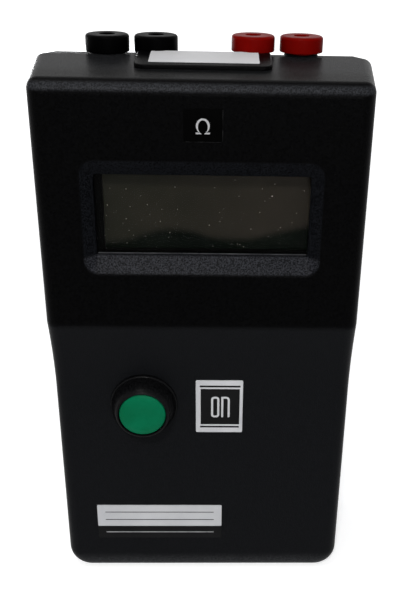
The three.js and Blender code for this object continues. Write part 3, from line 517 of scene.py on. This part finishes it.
def turned(name, profile, centre, along="z", sides=96):
    """A closed turned form from pairs (radius, height) in order round the section."""
    x, other = centre
    closed = profile[0][0] > 1e-6
    vertices, rings = [], []
    for radius, height in profile:
        count = sides if radius > 1e-6 else 1
        ring = []
        for i in range(count):
            angle = 2 * math.pi * i / sides
            u, v = radius * math.cos(angle), radius * math.sin(angle)
            ring.append(len(vertices))
            vertices.append((x + u, other + v, height) if along == "z" else (x + u, height, other + v))
        rings.append(ring)
    pairs = list(zip(rings, rings[1:]))
    if closed:
        pairs.append((rings[-1], rings[0]))
    faces = []
    for low, high in pairs:
        for i in range(sides):
            j = (i + 1) % sides
            if len(low) == 1 and len(high) == 1:
                continue
            if len(low) == 1:
                faces.append((low[0], high[i], high[j]))
            elif len(high) == 1:
                faces.append((low[i], low[j], high[0]))
            else:
                faces.append((low[i], low[j], high[j], high[i]))
    return mesh_of(name, vertices, faces)


def arc(cx, cy, radius, start, end, steps):
    angles = [math.radians(start + (end - start) * i / steps) for i in range(steps + 1)]
    return [(cx + radius * math.cos(angle), cy + radius * math.sin(angle)) for angle in angles]


def rounded_loop(width, height, corner, steps=10):
    points = []
    for sx, sz, start in ((1, -1, -90), (1, 1, 0), (-1, 1, 90), (-1, -1, 180)):
        points += arc(sx * (width / 2 - corner), sz * (height / 2 - corner), corner, start, start + 90, steps)
    return points


def band_faces(levels, count):
    """The faces between loops that follow each other, with count points each."""
    faces = []
    for level in range(levels - 1):
        for i in range(count):
            a, b = level * count + i, level * count + (i + 1) % count
            faces.append((a, b, b + count, a + count))
    return faces


def lofted(name, loops):
    """A closed skin through loops of equal length, each a list of (x, y, z)."""
    count = len(loops[0])
    vertices = [point for loop in loops for point in loop]
    faces = band_faces(len(loops), count)
    faces.append(tuple(range(count)))
    faces.append(tuple(range((len(loops) - 1) * count, len(loops) * count)))
    return mesh_of(name, vertices, faces)


def slab_loops(x, z, sections, steps=10):
    """Loops of a slab that lies in X and Z: sections are (y, width, height, corner)."""
    return [[(x + u, y, z + v) for u, v in rounded_loop(width, height, corner, steps)]
            for y, width, height, corner in sections]


def soft_slab(name, x, z, width, height, corner, front, back, edge):
    """A slab with a rounded front edge."""
    sections = []
    for i in range(5):
        angle = math.radians(90 * i / 4)
        inset = edge * (1 - math.sin(angle))
        sections.append((front + edge * (1 - math.cos(angle)), width - 2 * inset, height - 2 * inset,
                         max(corner - inset, 0.05)))
    sections.append((back, width, height, corner))
    return lofted(name, slab_loops(x, z, sections, 8))


def combine(target, tools, operation):
    """Joins solids to a mesh object, or cuts them from it, and keeps only the result."""
    for tool in tools:
        modifier = target.modifiers.new("boolean", "BOOLEAN")
        modifier.operation = operation
        modifier.solver = "EXACT"
        modifier.object = tool
    bpy.context.view_layer.update()
    result = bpy.data.meshes.new_from_object(target.evaluated_get(bpy.context.evaluated_depsgraph_get()))
    target.modifiers.clear()
    old = target.data
    target.data = result
    bpy.data.meshes.remove(old)
    for tool in tools:
        data = tool.data
        bpy.data.objects.remove(tool)
        bpy.data.meshes.remove(data)


def rod(name, radius, low, high, centre, along="y", sides=64):
    return loose(turned(name, [(0, low), (radius, low), (radius, high), (0, high)], centre, along, sides))


def box(name, x0, x1, y0, y1, z0, z1):
    corners = [(x, y, z) for x in (x0, x1) for y in (y0, y1) for z in (z0, z1)]
    faces = [(0, 1, 3, 2), (4, 6, 7, 5), (0, 4, 5, 1), (2, 3, 7, 6), (0, 2, 6, 4), (1, 5, 7, 3)]
    return loose(mesh_of(name, corners, faces))


# Form of the case
WIDTH, HEIGHT, THICK, PARTING = 102.4, 180, 45.6, 28.4
WALL, DRAFT, FACE_FILLET, BACK_FILLET = 2.4, 0.1, 4.4, 5
TOP_CORNER, BOTTOM_CORNER, STEP_DEPTH, FOLD, RAMP_END, RAMP_POWER = 3.2, 8, 5.3, 102.492, 75.996, 1.7
CORNER_STEPS, FILLET_STEPS = 10, 12
LEVELS = [RAMP_END + (FOLD - RAMP_END) * i / 18 for i in range(19)]


def step(z):
    share = min(max((z - RAMP_END) / (FOLD - RAMP_END), 0), 1)
    return STEP_DEPTH * (1 - share ** RAMP_POWER)


def case_outline(draft, inset):
    half = WIDTH / 2 - draft - inset
    top = HEIGHT - draft - inset
    tc, bc = max(TOP_CORNER - inset, 0.5), max(BOTTOM_CORNER - inset, 0.5)
    return (arc(half - bc, inset + bc, bc, -90, 0, CORNER_STEPS) + [(half, z) for z in LEVELS]
            + arc(half - tc, top - tc, tc, 0, 90, CORNER_STEPS)
            + arc(tc - half, top - tc, tc, 90, 180, CORNER_STEPS) + [(-half, z) for z in reversed(LEVELS)]
            + arc(bc - half, inset + bc, bc, 180, 270, CORNER_STEPS))


def face_spans():
    """Loop places of the front face's strips from side to side, then of its top and foot."""
    corner, levels = CORNER_STEPS + 1, len(LEVELS)
    right, left = corner, corner + levels + 2 * corner
    last = left + levels + corner - 1
    spans = []
    for i in range(levels - 1):
        spans.append((right + i, right + i + 1, left + levels - 2 - i, left + levels - 1 - i))
    spans.append(tuple(range(right + levels - 1, left + 1)))
    spans.append(tuple(range(left + levels - 1, last + 1)) + tuple(range(0, right + 1)))
    return spans


def case_half(name, face, stepped, fillet, inset=0, reach=0):
    """The front or rear half of the case, or of its hollow, which is inset and reaches past the parting."""
    away = 1 if face > PARTING else -1
    fillet_y = face - away * (inset + fillet)
    draft = DRAFT * abs(PARTING - fillet_y)
    loops = []
    if reach:
        loops.append([(x, PARTING - away * reach, z) for x, z in case_outline(0, inset)])
    loops.append([(x, PARTING, z) for x, z in case_outline(0, inset)])
    for i in range(FILLET_STEPS + 1):
        angle = math.radians(90 * i / FILLET_STEPS)
        ring = case_outline(draft, inset + fillet * (1 - math.cos(angle)))
        out = fillet * math.sin(angle)
        loops.append([(x, fillet_y + away * out + (step(z) if stepped else 0), z) for x, z in ring])
    count = len(loops[0])
    vertices = [point for loop in loops for point in loop]
    faces = band_faces(len(loops), count)
    base = (len(loops) - 1) * count
    faces.append(tuple(range(count)))
    faces += [tuple(base + i for i in span) for span in face_spans()]
    return loose(mesh_of(name, vertices, faces))


SCREW_NAMES = ("lower_left", "lower_right", "upper_left", "upper_right")
SCREWS = [(-41.7, 12), (41.7, 12), (-41.7, 164), (41.7, 164)]
BOSS, PILOT, PILOT_DEPTH = 3.8, 1.75, 10
POSTS = [("black_outer", -29.7, 180.55), ("black_inner", -14.85, 180.55),
         ("red_inner", 14.85, 180.95), ("red_outer", 29.7, 180.95)]
POST_Y, CAP_ROOM = 33.9, 6.95
LAND, LAND_LOW, LAND_TOP = 5.2, 176.3, 180.3
PEG_X, PEG_Y = 14, 17.6
DISPLAY_Z, BUTTON_X, BUTTON_Z = 137.5, -19.5, 71.1
DOOR_Z, BACK_INSIDE = 36, 44.6
# Width, height and corner of the parts of the display
RECESS_RIM, RECESS_OPENING, RECESS_DEPTH = (71.1, 35.5, 4.6), (63.7, 25.1, 0.6), 3.5
SURROUND, WINDOW = (75.5, 39.9, 3.4), (71.1, 35.5, 3.4)
# Radii of the button's seat and hole, middle and size of the seat of the ON sticker
BUTTON_SEAT, BUTTON_HOLE = 11.5, 9.3
LABEL_X, LABEL_Z, SEAT_HALF_WIDTH, SEAT_HALF_HEIGHT = 5.6, 69.95, 8.25, 10.65


def recess_sections():
    """The display recess: a soft rim, four slopes and a soft inner lip."""
    width, height, corner = RECESS_RIM
    sections = [(-2, width + 0.83, height + 0.83, corner + 0.41)]
    for i in range(6):
        angle = math.radians(45 * i / 5)
        out = 0.414 - math.sin(angle)
        sections.append((1 - math.cos(angle), width + 2 * out, height + 2 * out * 1.3, corner + out))
    width, height, corner = RECESS_OPENING
    for i in range(5):
        angle = math.radians(45 * i / 4)
        away = max(0.22 - 0.5 * (1 - math.cos(math.radians(45) - angle)) * 0.75, 0) * (1 - i / 4)
        depth = RECESS_DEPTH - 0.22 + 0.3 * math.sin(angle)
        sections.append((depth, width + 2 * away, height + 2.8 * away, corner))
    sections.append((7, *RECESS_OPENING))
    return sections


def mark_fold(mesh):
    """The crease across the face at the foot of the display section, which fades at the side fillets."""
    made = bmesh.new()
    made.from_mesh(mesh)
    for edge in made.edges:
        on_fold = all(abs(end.co.z - FOLD * MM) < 1e-6 and abs(end.co.x) < 0.0452 for end in edge.verts)
        if on_fold and edge.calc_face_angle(0) > 0.12:
            edge.smooth = False
    made.to_mesh(mesh)
    made.free()


def front_shell():
    shell = case_half("front_case", 0, True, FACE_FILLET)
    combine(shell, [case_half("hollow", 0, True, 2.0, WALL, 2)], "DIFFERENCE")
    sections = [(y, *SURROUND) for y in (1, 5)]
    surround = loose(lofted("surround", slab_loops(0, DISPLAY_Z, sections)))
    bosses = [rod("boss", BOSS, step(z) + 1, PARTING, (x, z)) for x, z in SCREWS]
    combine(shell, [surround, *bosses], "UNION")
    cuts = [loose(lofted("recess", slab_loops(0, DISPLAY_Z, recess_sections())))]
    cuts += [rod("pilot", PILOT, PARTING - PILOT_DEPTH, PARTING + 2, (x, z)) for x, z in SCREWS]
    cuts.append(rod("button_seat", BUTTON_SEAT, -2, STEP_DEPTH, (BUTTON_X, BUTTON_Z), sides=96))
    cuts.append(rod("button_hole", BUTTON_HOLE, 4, 10, (BUTTON_X, BUTTON_Z), sides=96))
    cuts.append(box("label_seat", LABEL_X - SEAT_HALF_WIDTH, LABEL_X + SEAT_HALF_WIDTH, -2, STEP_DEPTH,
                    LABEL_Z - SEAT_HALF_HEIGHT, LABEL_Z + SEAT_HALF_HEIGHT))
    cuts += [rod("peg_hole", 1.8, 174, 184, (x, PEG_Y), "z", 32) for x in (-PEG_X, PEG_X)]
    combine(shell, cuts, "DIFFERENCE")
    shade(shell.data, 28)
    mark_fold(shell.data)
    return shell


def rear_shell():
    shell = case_half("rear_case", THICK, False, BACK_FILLET)
    combine(shell, [case_half("hollow", THICK, False, 2.6, WALL, 2)], "DIFFERENCE")
    tray = box("tray", -15.9, 15.9, 24.7, BACK_INSIDE, 6.4, 65.6)
    adds = [tray] + [rod("boss", BOSS, PARTING, BACK_INSIDE, (x, z)) for x, z in SCREWS]
    adds += [rod("post", 3, 35, BACK_INSIDE, (x, z)) for x in (-34.2, 34.2) for z in (97.2, 150)]
    land = [(0, LAND_LOW), (LAND, LAND_LOW), (LAND, 180.12), (5.12, 180.25), (4.98, LAND_TOP), (0, LAND_TOP)]
    adds += [loose(turned("land", land, (x, POST_Y))) for _, x, _ in POSTS]
    combine(shell, adds, "UNION")
    well = [(0, 26), (PILOT, 26), (PILOT, 38.2), (3.1, 38.2), (3.1, 45.25), (3.2, 45.5), (3.45, 45.62),
            (3.45, 47), (0, 47)]
    cuts = [loose(turned("well", well, (x, z), "y", 64)) for x, z in SCREWS]
    cuts += [rod("terminal_hole", 3.9, 174, 183, (x, POST_Y), "z") for _, x, _ in POSTS]
    cuts.append(box("bay", -14.3, 14.3, 26.3, 47, 8, 64))
    sections = [(y, 31.6, 59, 2.8) for y in (44.4, 45.45)] + [(y, 31.9, 59.3, 2.95) for y in (45.62, 47)]
    cuts.append(loose(lofted("door_seat", slab_loops(0, DOOR_Z, sections))))
    cuts.append(box("lead_hole", -2.2, 2.2, 34.15, 36.55, 63, 66.6))
    combine(shell, cuts, "DIFFERENCE")
    shade(shell.data, 28)
    return shell


# Pieces
def case_pieces():
    for shell, node, skin in ((front_shell(), "front_shell", front_painted_light_skin),
                              (rear_shell(), "rear_shell", rear_skin)):
        dress(shell, skin, node=node)
        even_normals(shell)


def end_z(y):
    return HEIGHT - DRAFT * abs(PARTING - y)


def top_loop(x, half, y0, y1, front, back):
    """A rectangle in X and Y with front and back corners of their own radius."""
    loop = []
    for side, y, corner, start, end in ((1, y1 - back, back, 90, 0), (1, y0 + front, front, 0, -90),
                                        (-1, y0 + front, front, 270, 180), (-1, y1 - back, back, 180, 90)):
        loop += arc(x + side * (half - corner), y, corner, start, end, 8)
    return loop


def end_slab(name, x, half, y0, y1, front, back, low, high, edge):
    """A flat piece that lies on the sloped top end, with a rounded upper edge."""
    levels = [(0, low)]
    for i in range(5):
        angle = math.radians(90 * i / 4)
        levels.append((edge * (1 - math.cos(angle)), high - edge * (1 - math.sin(angle))))
    loops = []
    for inset, rise in levels:
        corners = max(front - inset, 0.05), max(back - inset, 0.05)
        loop = top_loop(x, half - inset, y0 + inset, y1 - inset, *corners)
        loops.append([(u, v, end_z(v) + rise) for u, v in loop])
    return lofted(name, loops)


def end_pieces():
    plate = loose(end_slab("raised_plate", 0, 20, 12.6, 28.4, 3, 0.5, 0.05, 1.25, 0.35))
    combine(plate, [rod("peg", 1.5, 175.6, 179.4, (x, PEG_Y), "z", 32) for x in (-PEG_X, PEG_X)], "UNION")
    label = loose(end_slab("plate_sticker", 0.2, 16.1, 15.4, 27.8, 0.4, 0.4, 1.3, 1.5, 0.06))
    for piece, node, slot, material in ((plate, "end_plate", "shell", shell_skin),
                                        (label, "end_label", "paper", plate_white)):
        rooms = [rod("cap_room", CAP_ROOM, 178, 184, (x, POST_Y), "z", 96) for _, x, _ in POSTS]
        combine(piece, rooms, "DIFFERENCE")
        shade(piece.data, 30)
        dress(piece, material, node=node)


CAP_RADIUS, CAP_HEIGHT, CAP_RIM, CAP_BORE, CAP_MOUTH, INSERT_ROOM = 6.65, 4.75, 0.9, 2.95, 2.35, 4.55
BLACK_SKIRT = 0.4


def cap_profile(base, foot_low):
    """The section of a screw-down cap, whose skirt reaches down to foot_low outside the land under it."""
    top = base + CAP_HEIGHT
    rim_low = top - CAP_RIM
    rim = arc(CAP_RADIUS - CAP_RIM, rim_low, CAP_RIM, 0, 90, 10)
    foot = [(5.4, base), (5.4, foot_low), *arc(CAP_RADIUS - 0.25, foot_low + 0.25, 0.25, -90, 0, 5)]
    mouth = arc(CAP_MOUTH + 0.3, top - 0.3, 0.3, 90, 180, 5)
    room = [(CAP_BORE, base + 3.4), (INSERT_ROOM, base + 3.4), (INSERT_ROOM, base + 0.8),
            (CAP_BORE, base + 0.8)]
    return [(CAP_BORE, base), *foot, *rim, *mouth, (CAP_MOUTH, rim_low), (CAP_BORE, rim_low), *room]


def terminals():
    for name, x, base in POSTS:
        red = name.startswith("red")
        skin, slot = (gloss_red, "red") if red else (gloss_black, "gloss_black")
        profile = cap_profile(base, base - (0 if red else BLACK_SKIRT))
        mesh = turned("screw_cap_" + name, profile, (x, POST_Y), sides=128)
        new_piece(mesh, skin, "cap_" + name, "terminal_cap_" + name)
        neck = [(CAP_BORE, LAND_LOW), (3.6, LAND_LOW), (3.6, LAND_TOP), (3.7, LAND_TOP), (3.87, 180.4),
                (3.87, base), (CAP_BORE, base)]
        mesh = turned("neck_" + name, neck, (x, POST_Y))
        new_piece(mesh, skin, "case", "terminal_collar_" + name)


# The domed outside of the bezel: radius, and depth behind the front of its rim
DOME = [(8.15, 0.02), (8.4, 0.15), (8.66, 0.42), (8.96, 0.85), (9.28, 1.42), (9.58, 2.05), (9.85, 2.75),
        (10.1, 3.6), (10.34, 4.55), (10.52, 5.4)]
# Its rounded foot: radius, and height in front of the face
BEZEL_FOOT = [(10.62, 1.3), (10.74, 1.12), (10.88, 1.03), (11.02, 0.88), (11.1, 0.6), (11.1, 0), (9, 0)]
BEZEL_BORE = [(9, 15.8), (2.45, 15.8), (2.45, 14.2), (7.85, 14.2)]
# The cap's dished top: radius, and depth behind its foremost ring
DISH = [(0, 0.1), (2.2, 0.06), (4.2, 0), (5.2, 0.05), (6.1, 0.19), (6.8, 0.42)]
BEZEL_RISE, CAP_RISE = 7.3, 0.3


def button():
    centre = (BUTTON_X, BUTTON_Z)
    top = STEP_DEPTH - BEZEL_RISE
    dome = [(radius, top + depth) for radius, depth in DOME]
    foot = [(radius, STEP_DEPTH - rise) for radius, rise in BEZEL_FOOT]
    profile = arc(7.97, top + 0.12, 0.12, 180, 270, 4) + dome + foot + BEZEL_BORE
    mesh = turned("bezel", profile, centre, "y", 128)
    new_piece(mesh, bezel_black, "case", "switch_bezel", 42)
    top -= CAP_RISE
    dish = [(radius, top + depth) for radius, depth in DISH]
    rim = arc(7.05, top + 1.02, 0.5, -62, 0, 6)
    mesh = turned("button_cap", dish + rim + [(7.55, 3.2), (0, 3.2)], centre, "y", 128)
    new_piece(mesh, button_green, "button", "switch_cap", 42)


def return_spring():
    """The button's coil spring, with one close turn at each end."""
    turns, steps, sides = 6, 28, 10
    radius, wire = 3.6, 0.38
    low, high, close = 3.85, 13.55, 0.85
    pitch = (high - low - 2 * close) / (turns - 2)
    loops = []
    for i in range(turns * steps + 1):
        turn = i / steps
        y = low + close * min(turn, 1) + pitch * min(max(turn - 1, 0), turns - 2)
        y += close * max(turn - turns + 1, 0)
        angle = 2 * math.pi * turn
        section = arc(radius, 0, wire, 0, 360 - 360 / sides, sides - 1)
        loops.append([(BUTTON_X + reach * math.cos(angle), y + rise, BUTTON_Z + reach * math.sin(angle))
                      for reach, rise in section])
    mesh = lofted("return_spring", loops)
    spring = new_piece(mesh, steel_metal, "case", "switch_spring", 50)
    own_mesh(spring)


def flat_ink(name, outline, front, back, material, holes=()):
    """A thin printed shape: outline in X and Z, with optional holes."""
    curve = bpy.data.curves.new(name, "CURVE")
    curve.dimensions = "2D"
    curve.fill_mode = "BOTH"
    for loop in [outline, *holes]:
        spline = curve.splines.new("POLY")
        spline.points.add(len(loop) - 1)
        for point, (x, z) in zip(spline.points, loop):
            point.co = (x * MM, z * MM, 0, 1)
        spline.use_cyclic_u = True
    curve.extrude = (back - front) / 2 * MM
    holder = bpy.data.objects.new(name, curve)
    bpy.context.scene.collection.objects.link(holder)
    bpy.context.view_layer.update()
    mesh = bpy.data.meshes.new_from_object(holder.evaluated_get(bpy.context.evaluated_depsgraph_get()))
    bpy.data.objects.remove(holder)
    bpy.data.curves.remove(curve)
    mesh.name = name
    mesh.transform(Matrix.Rotation(math.radians(90), 4, "X"))
    mesh.transform(Matrix.Translation(at(0, (front + back) / 2, 0)))
    made = bmesh.new()
    made.from_mesh(mesh)
    bmesh.ops.remove_doubles(made, verts=made.verts, dist=1e-7)
    bmesh.ops.recalc_face_normals(made, faces=made.faces)
    made.to_mesh(mesh)
    made.free()
    dress(loose(mesh), material)


def rectangle(x0, x1, z0, z1):
    return [(x0, z0), (x1, z0), (x1, z1), (x0, z1)]


def moved(loop, x, z):
    return [(x + u, z + v) for u, v in loop]


# Front and back of the prints: fields and letters on the lower face, the ohm sign, and its worn edges
FIELD_Y, LETTER_Y = (5.035, 5.06), (5.02, 5.045)
SIGN_Y, WORN_Y = (-0.262, -0.24), (-0.256, -0.2)
STICKER_THICK, STICKER_EDGE = 0.25, 0.06


def sticker(name, x, z, width, height, corner, back, material, slot, node):
    mesh = soft_slab(name, x, z, width, height, corner, back - STICKER_THICK, back, STICKER_EDGE)
    new_piece(mesh, material, "case", node)


def sticker_ohm():
    sticker("ohm_sticker", 0.3, 165.4, 11.1, 9.3, 0.4, 0, sticker_black, "ink", "ohm_label")
    x, foot_z, foot = 0.2, 163.07, 0.45
    outer = [(x + 1.95 * math.cos(t), 165.38 + 2.1 * math.sin(t))
             for t in (math.radians(-62.5 + 305 * i / 40) for i in range(41))]
    inner = [(x + 1.37 * math.cos(t), 165.05 + 1.92 * math.sin(t))
             for t in (math.radians(252 - 324 * i / 40) for i in range(41))]
    sign = (outer + [(x - 2, foot_z + foot), (x - 2, foot_z), (x - 0.42, foot_z)] + inner
            + [(x + 0.42, foot_z), (x + 2, foot_z), (x + 2, foot_z + foot)])
    flat_ink("ohm_sign", sign, *SIGN_Y, ink_pale)
    flat_ink("ohm_edge_side", rectangle(5.71, 5.84, 160.95, 169.9), *WORN_Y, edge_grey)
    flat_ink("ohm_edge_foot", rectangle(-4.9, 5.6, 160.76, 160.88), *WORN_Y, edge_grey)


def sticker_on():
    """The framed square beside the button."""
    sticker("on_sticker", 5.45, 70.2, 15.6, 20.2, 0.5, STEP_DEPTH, sticker_white, "paper", "on_label")
    flat_ink("on_field", rectangle(-0.75, 12.2, 63.3, 77.05), *FIELD_Y, ink_black)
    flat_ink("on_rule_upper", rectangle(-1.0, 12.4, 77.68, 78.36), *FIELD_Y, ink_dark)
    flat_ink("on_rule_lower", rectangle(-0.95, 12.1, 61.98, 62.62), *FIELD_Y, ink_dark)
    outside = moved(rounded_loop(2.75, 8.05, 1.1, 8), 4.1, 70.07)
    inside = moved(rounded_loop(1.35, 6.65, 0.5, 6), 4.1, 70.07)
    flat_ink("letter_o", outside, *LETTER_Y, sticker_white, [list(reversed(inside))])
    left, right, low, high, stroke = 6.1, 8.95, 66.05, 74.09, 0.7
    foot = stroke / 2
    bend = 1.3
    arch = ([(left, low + foot)] + arc(left + foot, low + foot, foot, 180, 360, 6)
            + [(left + stroke, high - stroke)] + arc(right - bend, high - bend, bend - stroke, 90, 0, 6)
            + arc(right - foot, low + foot, foot, 180, 360, 6)
            + arc(right - bend, high - bend, bend, 0, 90, 8) + [(left, high)])
    flat_ink("letter_n", arch, *LETTER_Y, sticker_white)


def sticker_foot():
    """The sticker at the foot of the face, with nothing on it but rules to write on."""
    x, width, corner, margin = -15.4, 44, 0.35, 2.8
    for name, z, height, *looks in (("foot_sticker", 24.5, 9.2, sticker_white, "paper", "name_label"),
                                    ("foot_strip", 17.2, 5.2, ink_black, "ink", "name_strip")):
        sticker(name, x, z, width, height, corner, STEP_DEPTH, *looks)
    left, right = x - width / 2 + margin, x + width / 2 - margin
    rules = [("upper", 25.95, ink_dark), ("lower", 22.65, ink_dark), ("strip", 17.05, ink_pale)]
    for name, low, ink in rules:
        flat_ink("foot_rule_" + name, rectangle(left, right, low, low + 0.3), *FIELD_Y, ink)


def display_window():
    sections = [(y, *WINDOW) for y in (5, 6.5)]
    mesh = lofted("clear_window", slab_loops(0, DISPLAY_Z, sections))
    new_piece(mesh, window_clear, "case", "display_window")
    # Pale grey strip at the window's lower edge: a painted highlight
    flat_ink("window_lip_highlight", rectangle(-31.6, 31.6, DISPLAY_Z - 12.5, DISPLAY_Z - 12.28), 4.72, 5, lip_highlight_grey)


def window_dust():
    """Specks on the window: a few larger ones listed, the rest scattered, some of them closer together."""
    dust = bmesh.new()
    chance = random.Random(7)
    specks = [(20.6, 143.6, 0.14), (-28.2, 140.2, 0.1), (-21.5, 139.8, 0.11), (12.4, 127.4, 0.12),
              (26.8, 135.4, 0.09)]
    for _ in range(60):
        specks.append((chance.uniform(-30, 31), chance.uniform(127, 148.5), chance.uniform(0.05, 0.1)))
    for _ in range(12):
        specks.append((chance.gauss(-20, 8), chance.gauss(140, 5), chance.uniform(0.05, 0.1)))
    for x, z, size in specks:
        made = bmesh.ops.create_icosphere(dust, subdivisions=1, radius=size * MM)
        for vertex in made["verts"]:
            u, v, w = vertex.co
            wobble = 1 + 0.35 * math.sin(9000 * u + 5 * x) * math.cos(7000 * w + z)
            vertex.co = Vector((u * wobble * 1.3, v * 0.25, w * wobble)) + at(x, 4.97, z)
    mesh = bpy.data.meshes.new("window_dust")
    dust.to_mesh(mesh)
    dust.free()
    new_piece(mesh, dust_grey, angle=60)


def battery_door():
    """The cover on the back, with a tongue at each end and five grip grooves."""
    width, height, corner, edge = 31, 58.4, 2.5, 0.35
    sections = []
    for i in range(5):
        angle = math.radians(90 * i / 4)
        inset = edge * (1 - math.sin(angle))
        sections.append((THICK - edge * (1 - math.cos(angle)), width - 2 * inset, height - 2 * inset,
                         corner - inset))
    sections.append((44.4, width, height, corner))
    door = loose(lofted("door", slab_loops(0, DOOR_Z, sections)))
    ends = [DOOR_Z + side * 27.1 for side in (-1, 1)]
    combine(door, [box("tongue", -4, 4, 40.4, 45, z - 0.6, z + 0.6) for z in ends], "UNION")
    groove = [(45.1, 13.4, 0.5, 0.24), (45.3, 13.8, 0.85, 0.42)]
    groove += [(y, 14, 1.05, 0.5) for y in (45.62, 46.5)]
    grips = [loose(lofted("grip", slab_loops(0, 59.2 - 2.2 * i, groove, 6))) for i in range(5)]
    combine(door, grips, "DIFFERENCE")
    shade(door.data, 34)
    dress(door, plain_skin, "battery_door", "battery_cover")
    even_normals(door)


def block_battery():
    """A block battery: a rolled metal jacket with rounded edges, and two studs on its top."""
    low, high, middle_y = 9.9, 55.9, 35.35
    width, depth, corner = 26.2, 17.5, 2.6
    roll = [(0, 1.3), (0.12, 0.7), (0.4, 0.22), (0.9, 0)]
    sections = [(low + rise, inset) for rise, inset in roll]
    sections += [(high - rise, inset) for rise, inset in reversed(roll)]
    loops = []
    for z, inset in sections:
        ring = rounded_loop(width - 2 * inset, depth - 2 * inset, corner - inset)
        loops.append([(u, middle_y + v, z) for u, v in ring])
    jacket = loose(lofted("block_battery", loops))
    studs = [rod("stud", 2.9, high - 1, high + 2.4, (x, middle_y), "z", 32) for x in (-6.3, 6.3)]
    combine(jacket, studs, "UNION")
    shade(jacket.data, 40)
    dress(jacket, battery_skin, node="battery")


def screws():
    """Case screws with ringed shanks and cross slots."""
    profile = [(0, 19), (0.9, 19)]
    for i in range(22):
        thread = 19.6 + 0.8 * i
        profile += [(1.2, thread), (1.5, thread + 0.35)]
    profile += [(1.2, 37.4), (1.5, 38.2), (2.8, 38.2), (2.8, 39.1), (2.62, 39.6), (2.2, 40.05), (1.5, 40.32),
                (0, 40.4)]
    for name, (x, z) in zip(SCREW_NAMES, SCREWS):
        screw = loose(turned("screw_" + name, profile, (x, z), "y", 32))
        slots = [box("slot", x - u, x + u, 39.5, 41, z - v, z + v) for u, v in ((1.7, 0.38), (0.38, 1.7))]
        combine(screw, slots, "DIFFERENCE")
        shade(screw.data, 34)
        dress(screw, steel_metal, node="case_screw_" + name)


# Materials of the solids that stay, by the start of their names
KEPT_LOOKS = {
    "lcd_frame": frame_black, "lcd_glass": display_skin,
    "contact_strip": rubber_grey, "battery_snap": rubber_grey,
    "display_board": board_green, "main_board": board_green,
    "meter_chip": chip_black, "amplifier_chip": chip_black,
    "board_link": chip_black, "switch_body": chip_black,
    "calibration_trimmer": part_blue, "switch_lead": part_blue,
    "switch_plunger": brass_metal, "switch_contact": brass_metal,
    "terminal_insert": brass_metal, "terminal_post": brass_metal,
    "switch_nut": steel_metal, "terminal_nut": steel_metal,
    "terminal_lead_red": lead_red, "terminal_lead_black": lead_black, "battery_lead": lead_red,
}


def kept_nodes():
    for name in sorted(nodes):
        fits = [key for key in KEPT_LOOKS if name.startswith(key)]
        for held in nodes[name].material_slots if fits else ():
            held.material = KEPT_LOOKS[fits[0]]


photo_camera()
studio()
case_pieces()
end_pieces()
terminals()
button()
return_spring()
sticker_ohm()
sticker_on()
sticker_foot()
display_window()
window_dust()
battery_door()
block_battery()
screws()
kept_nodes()
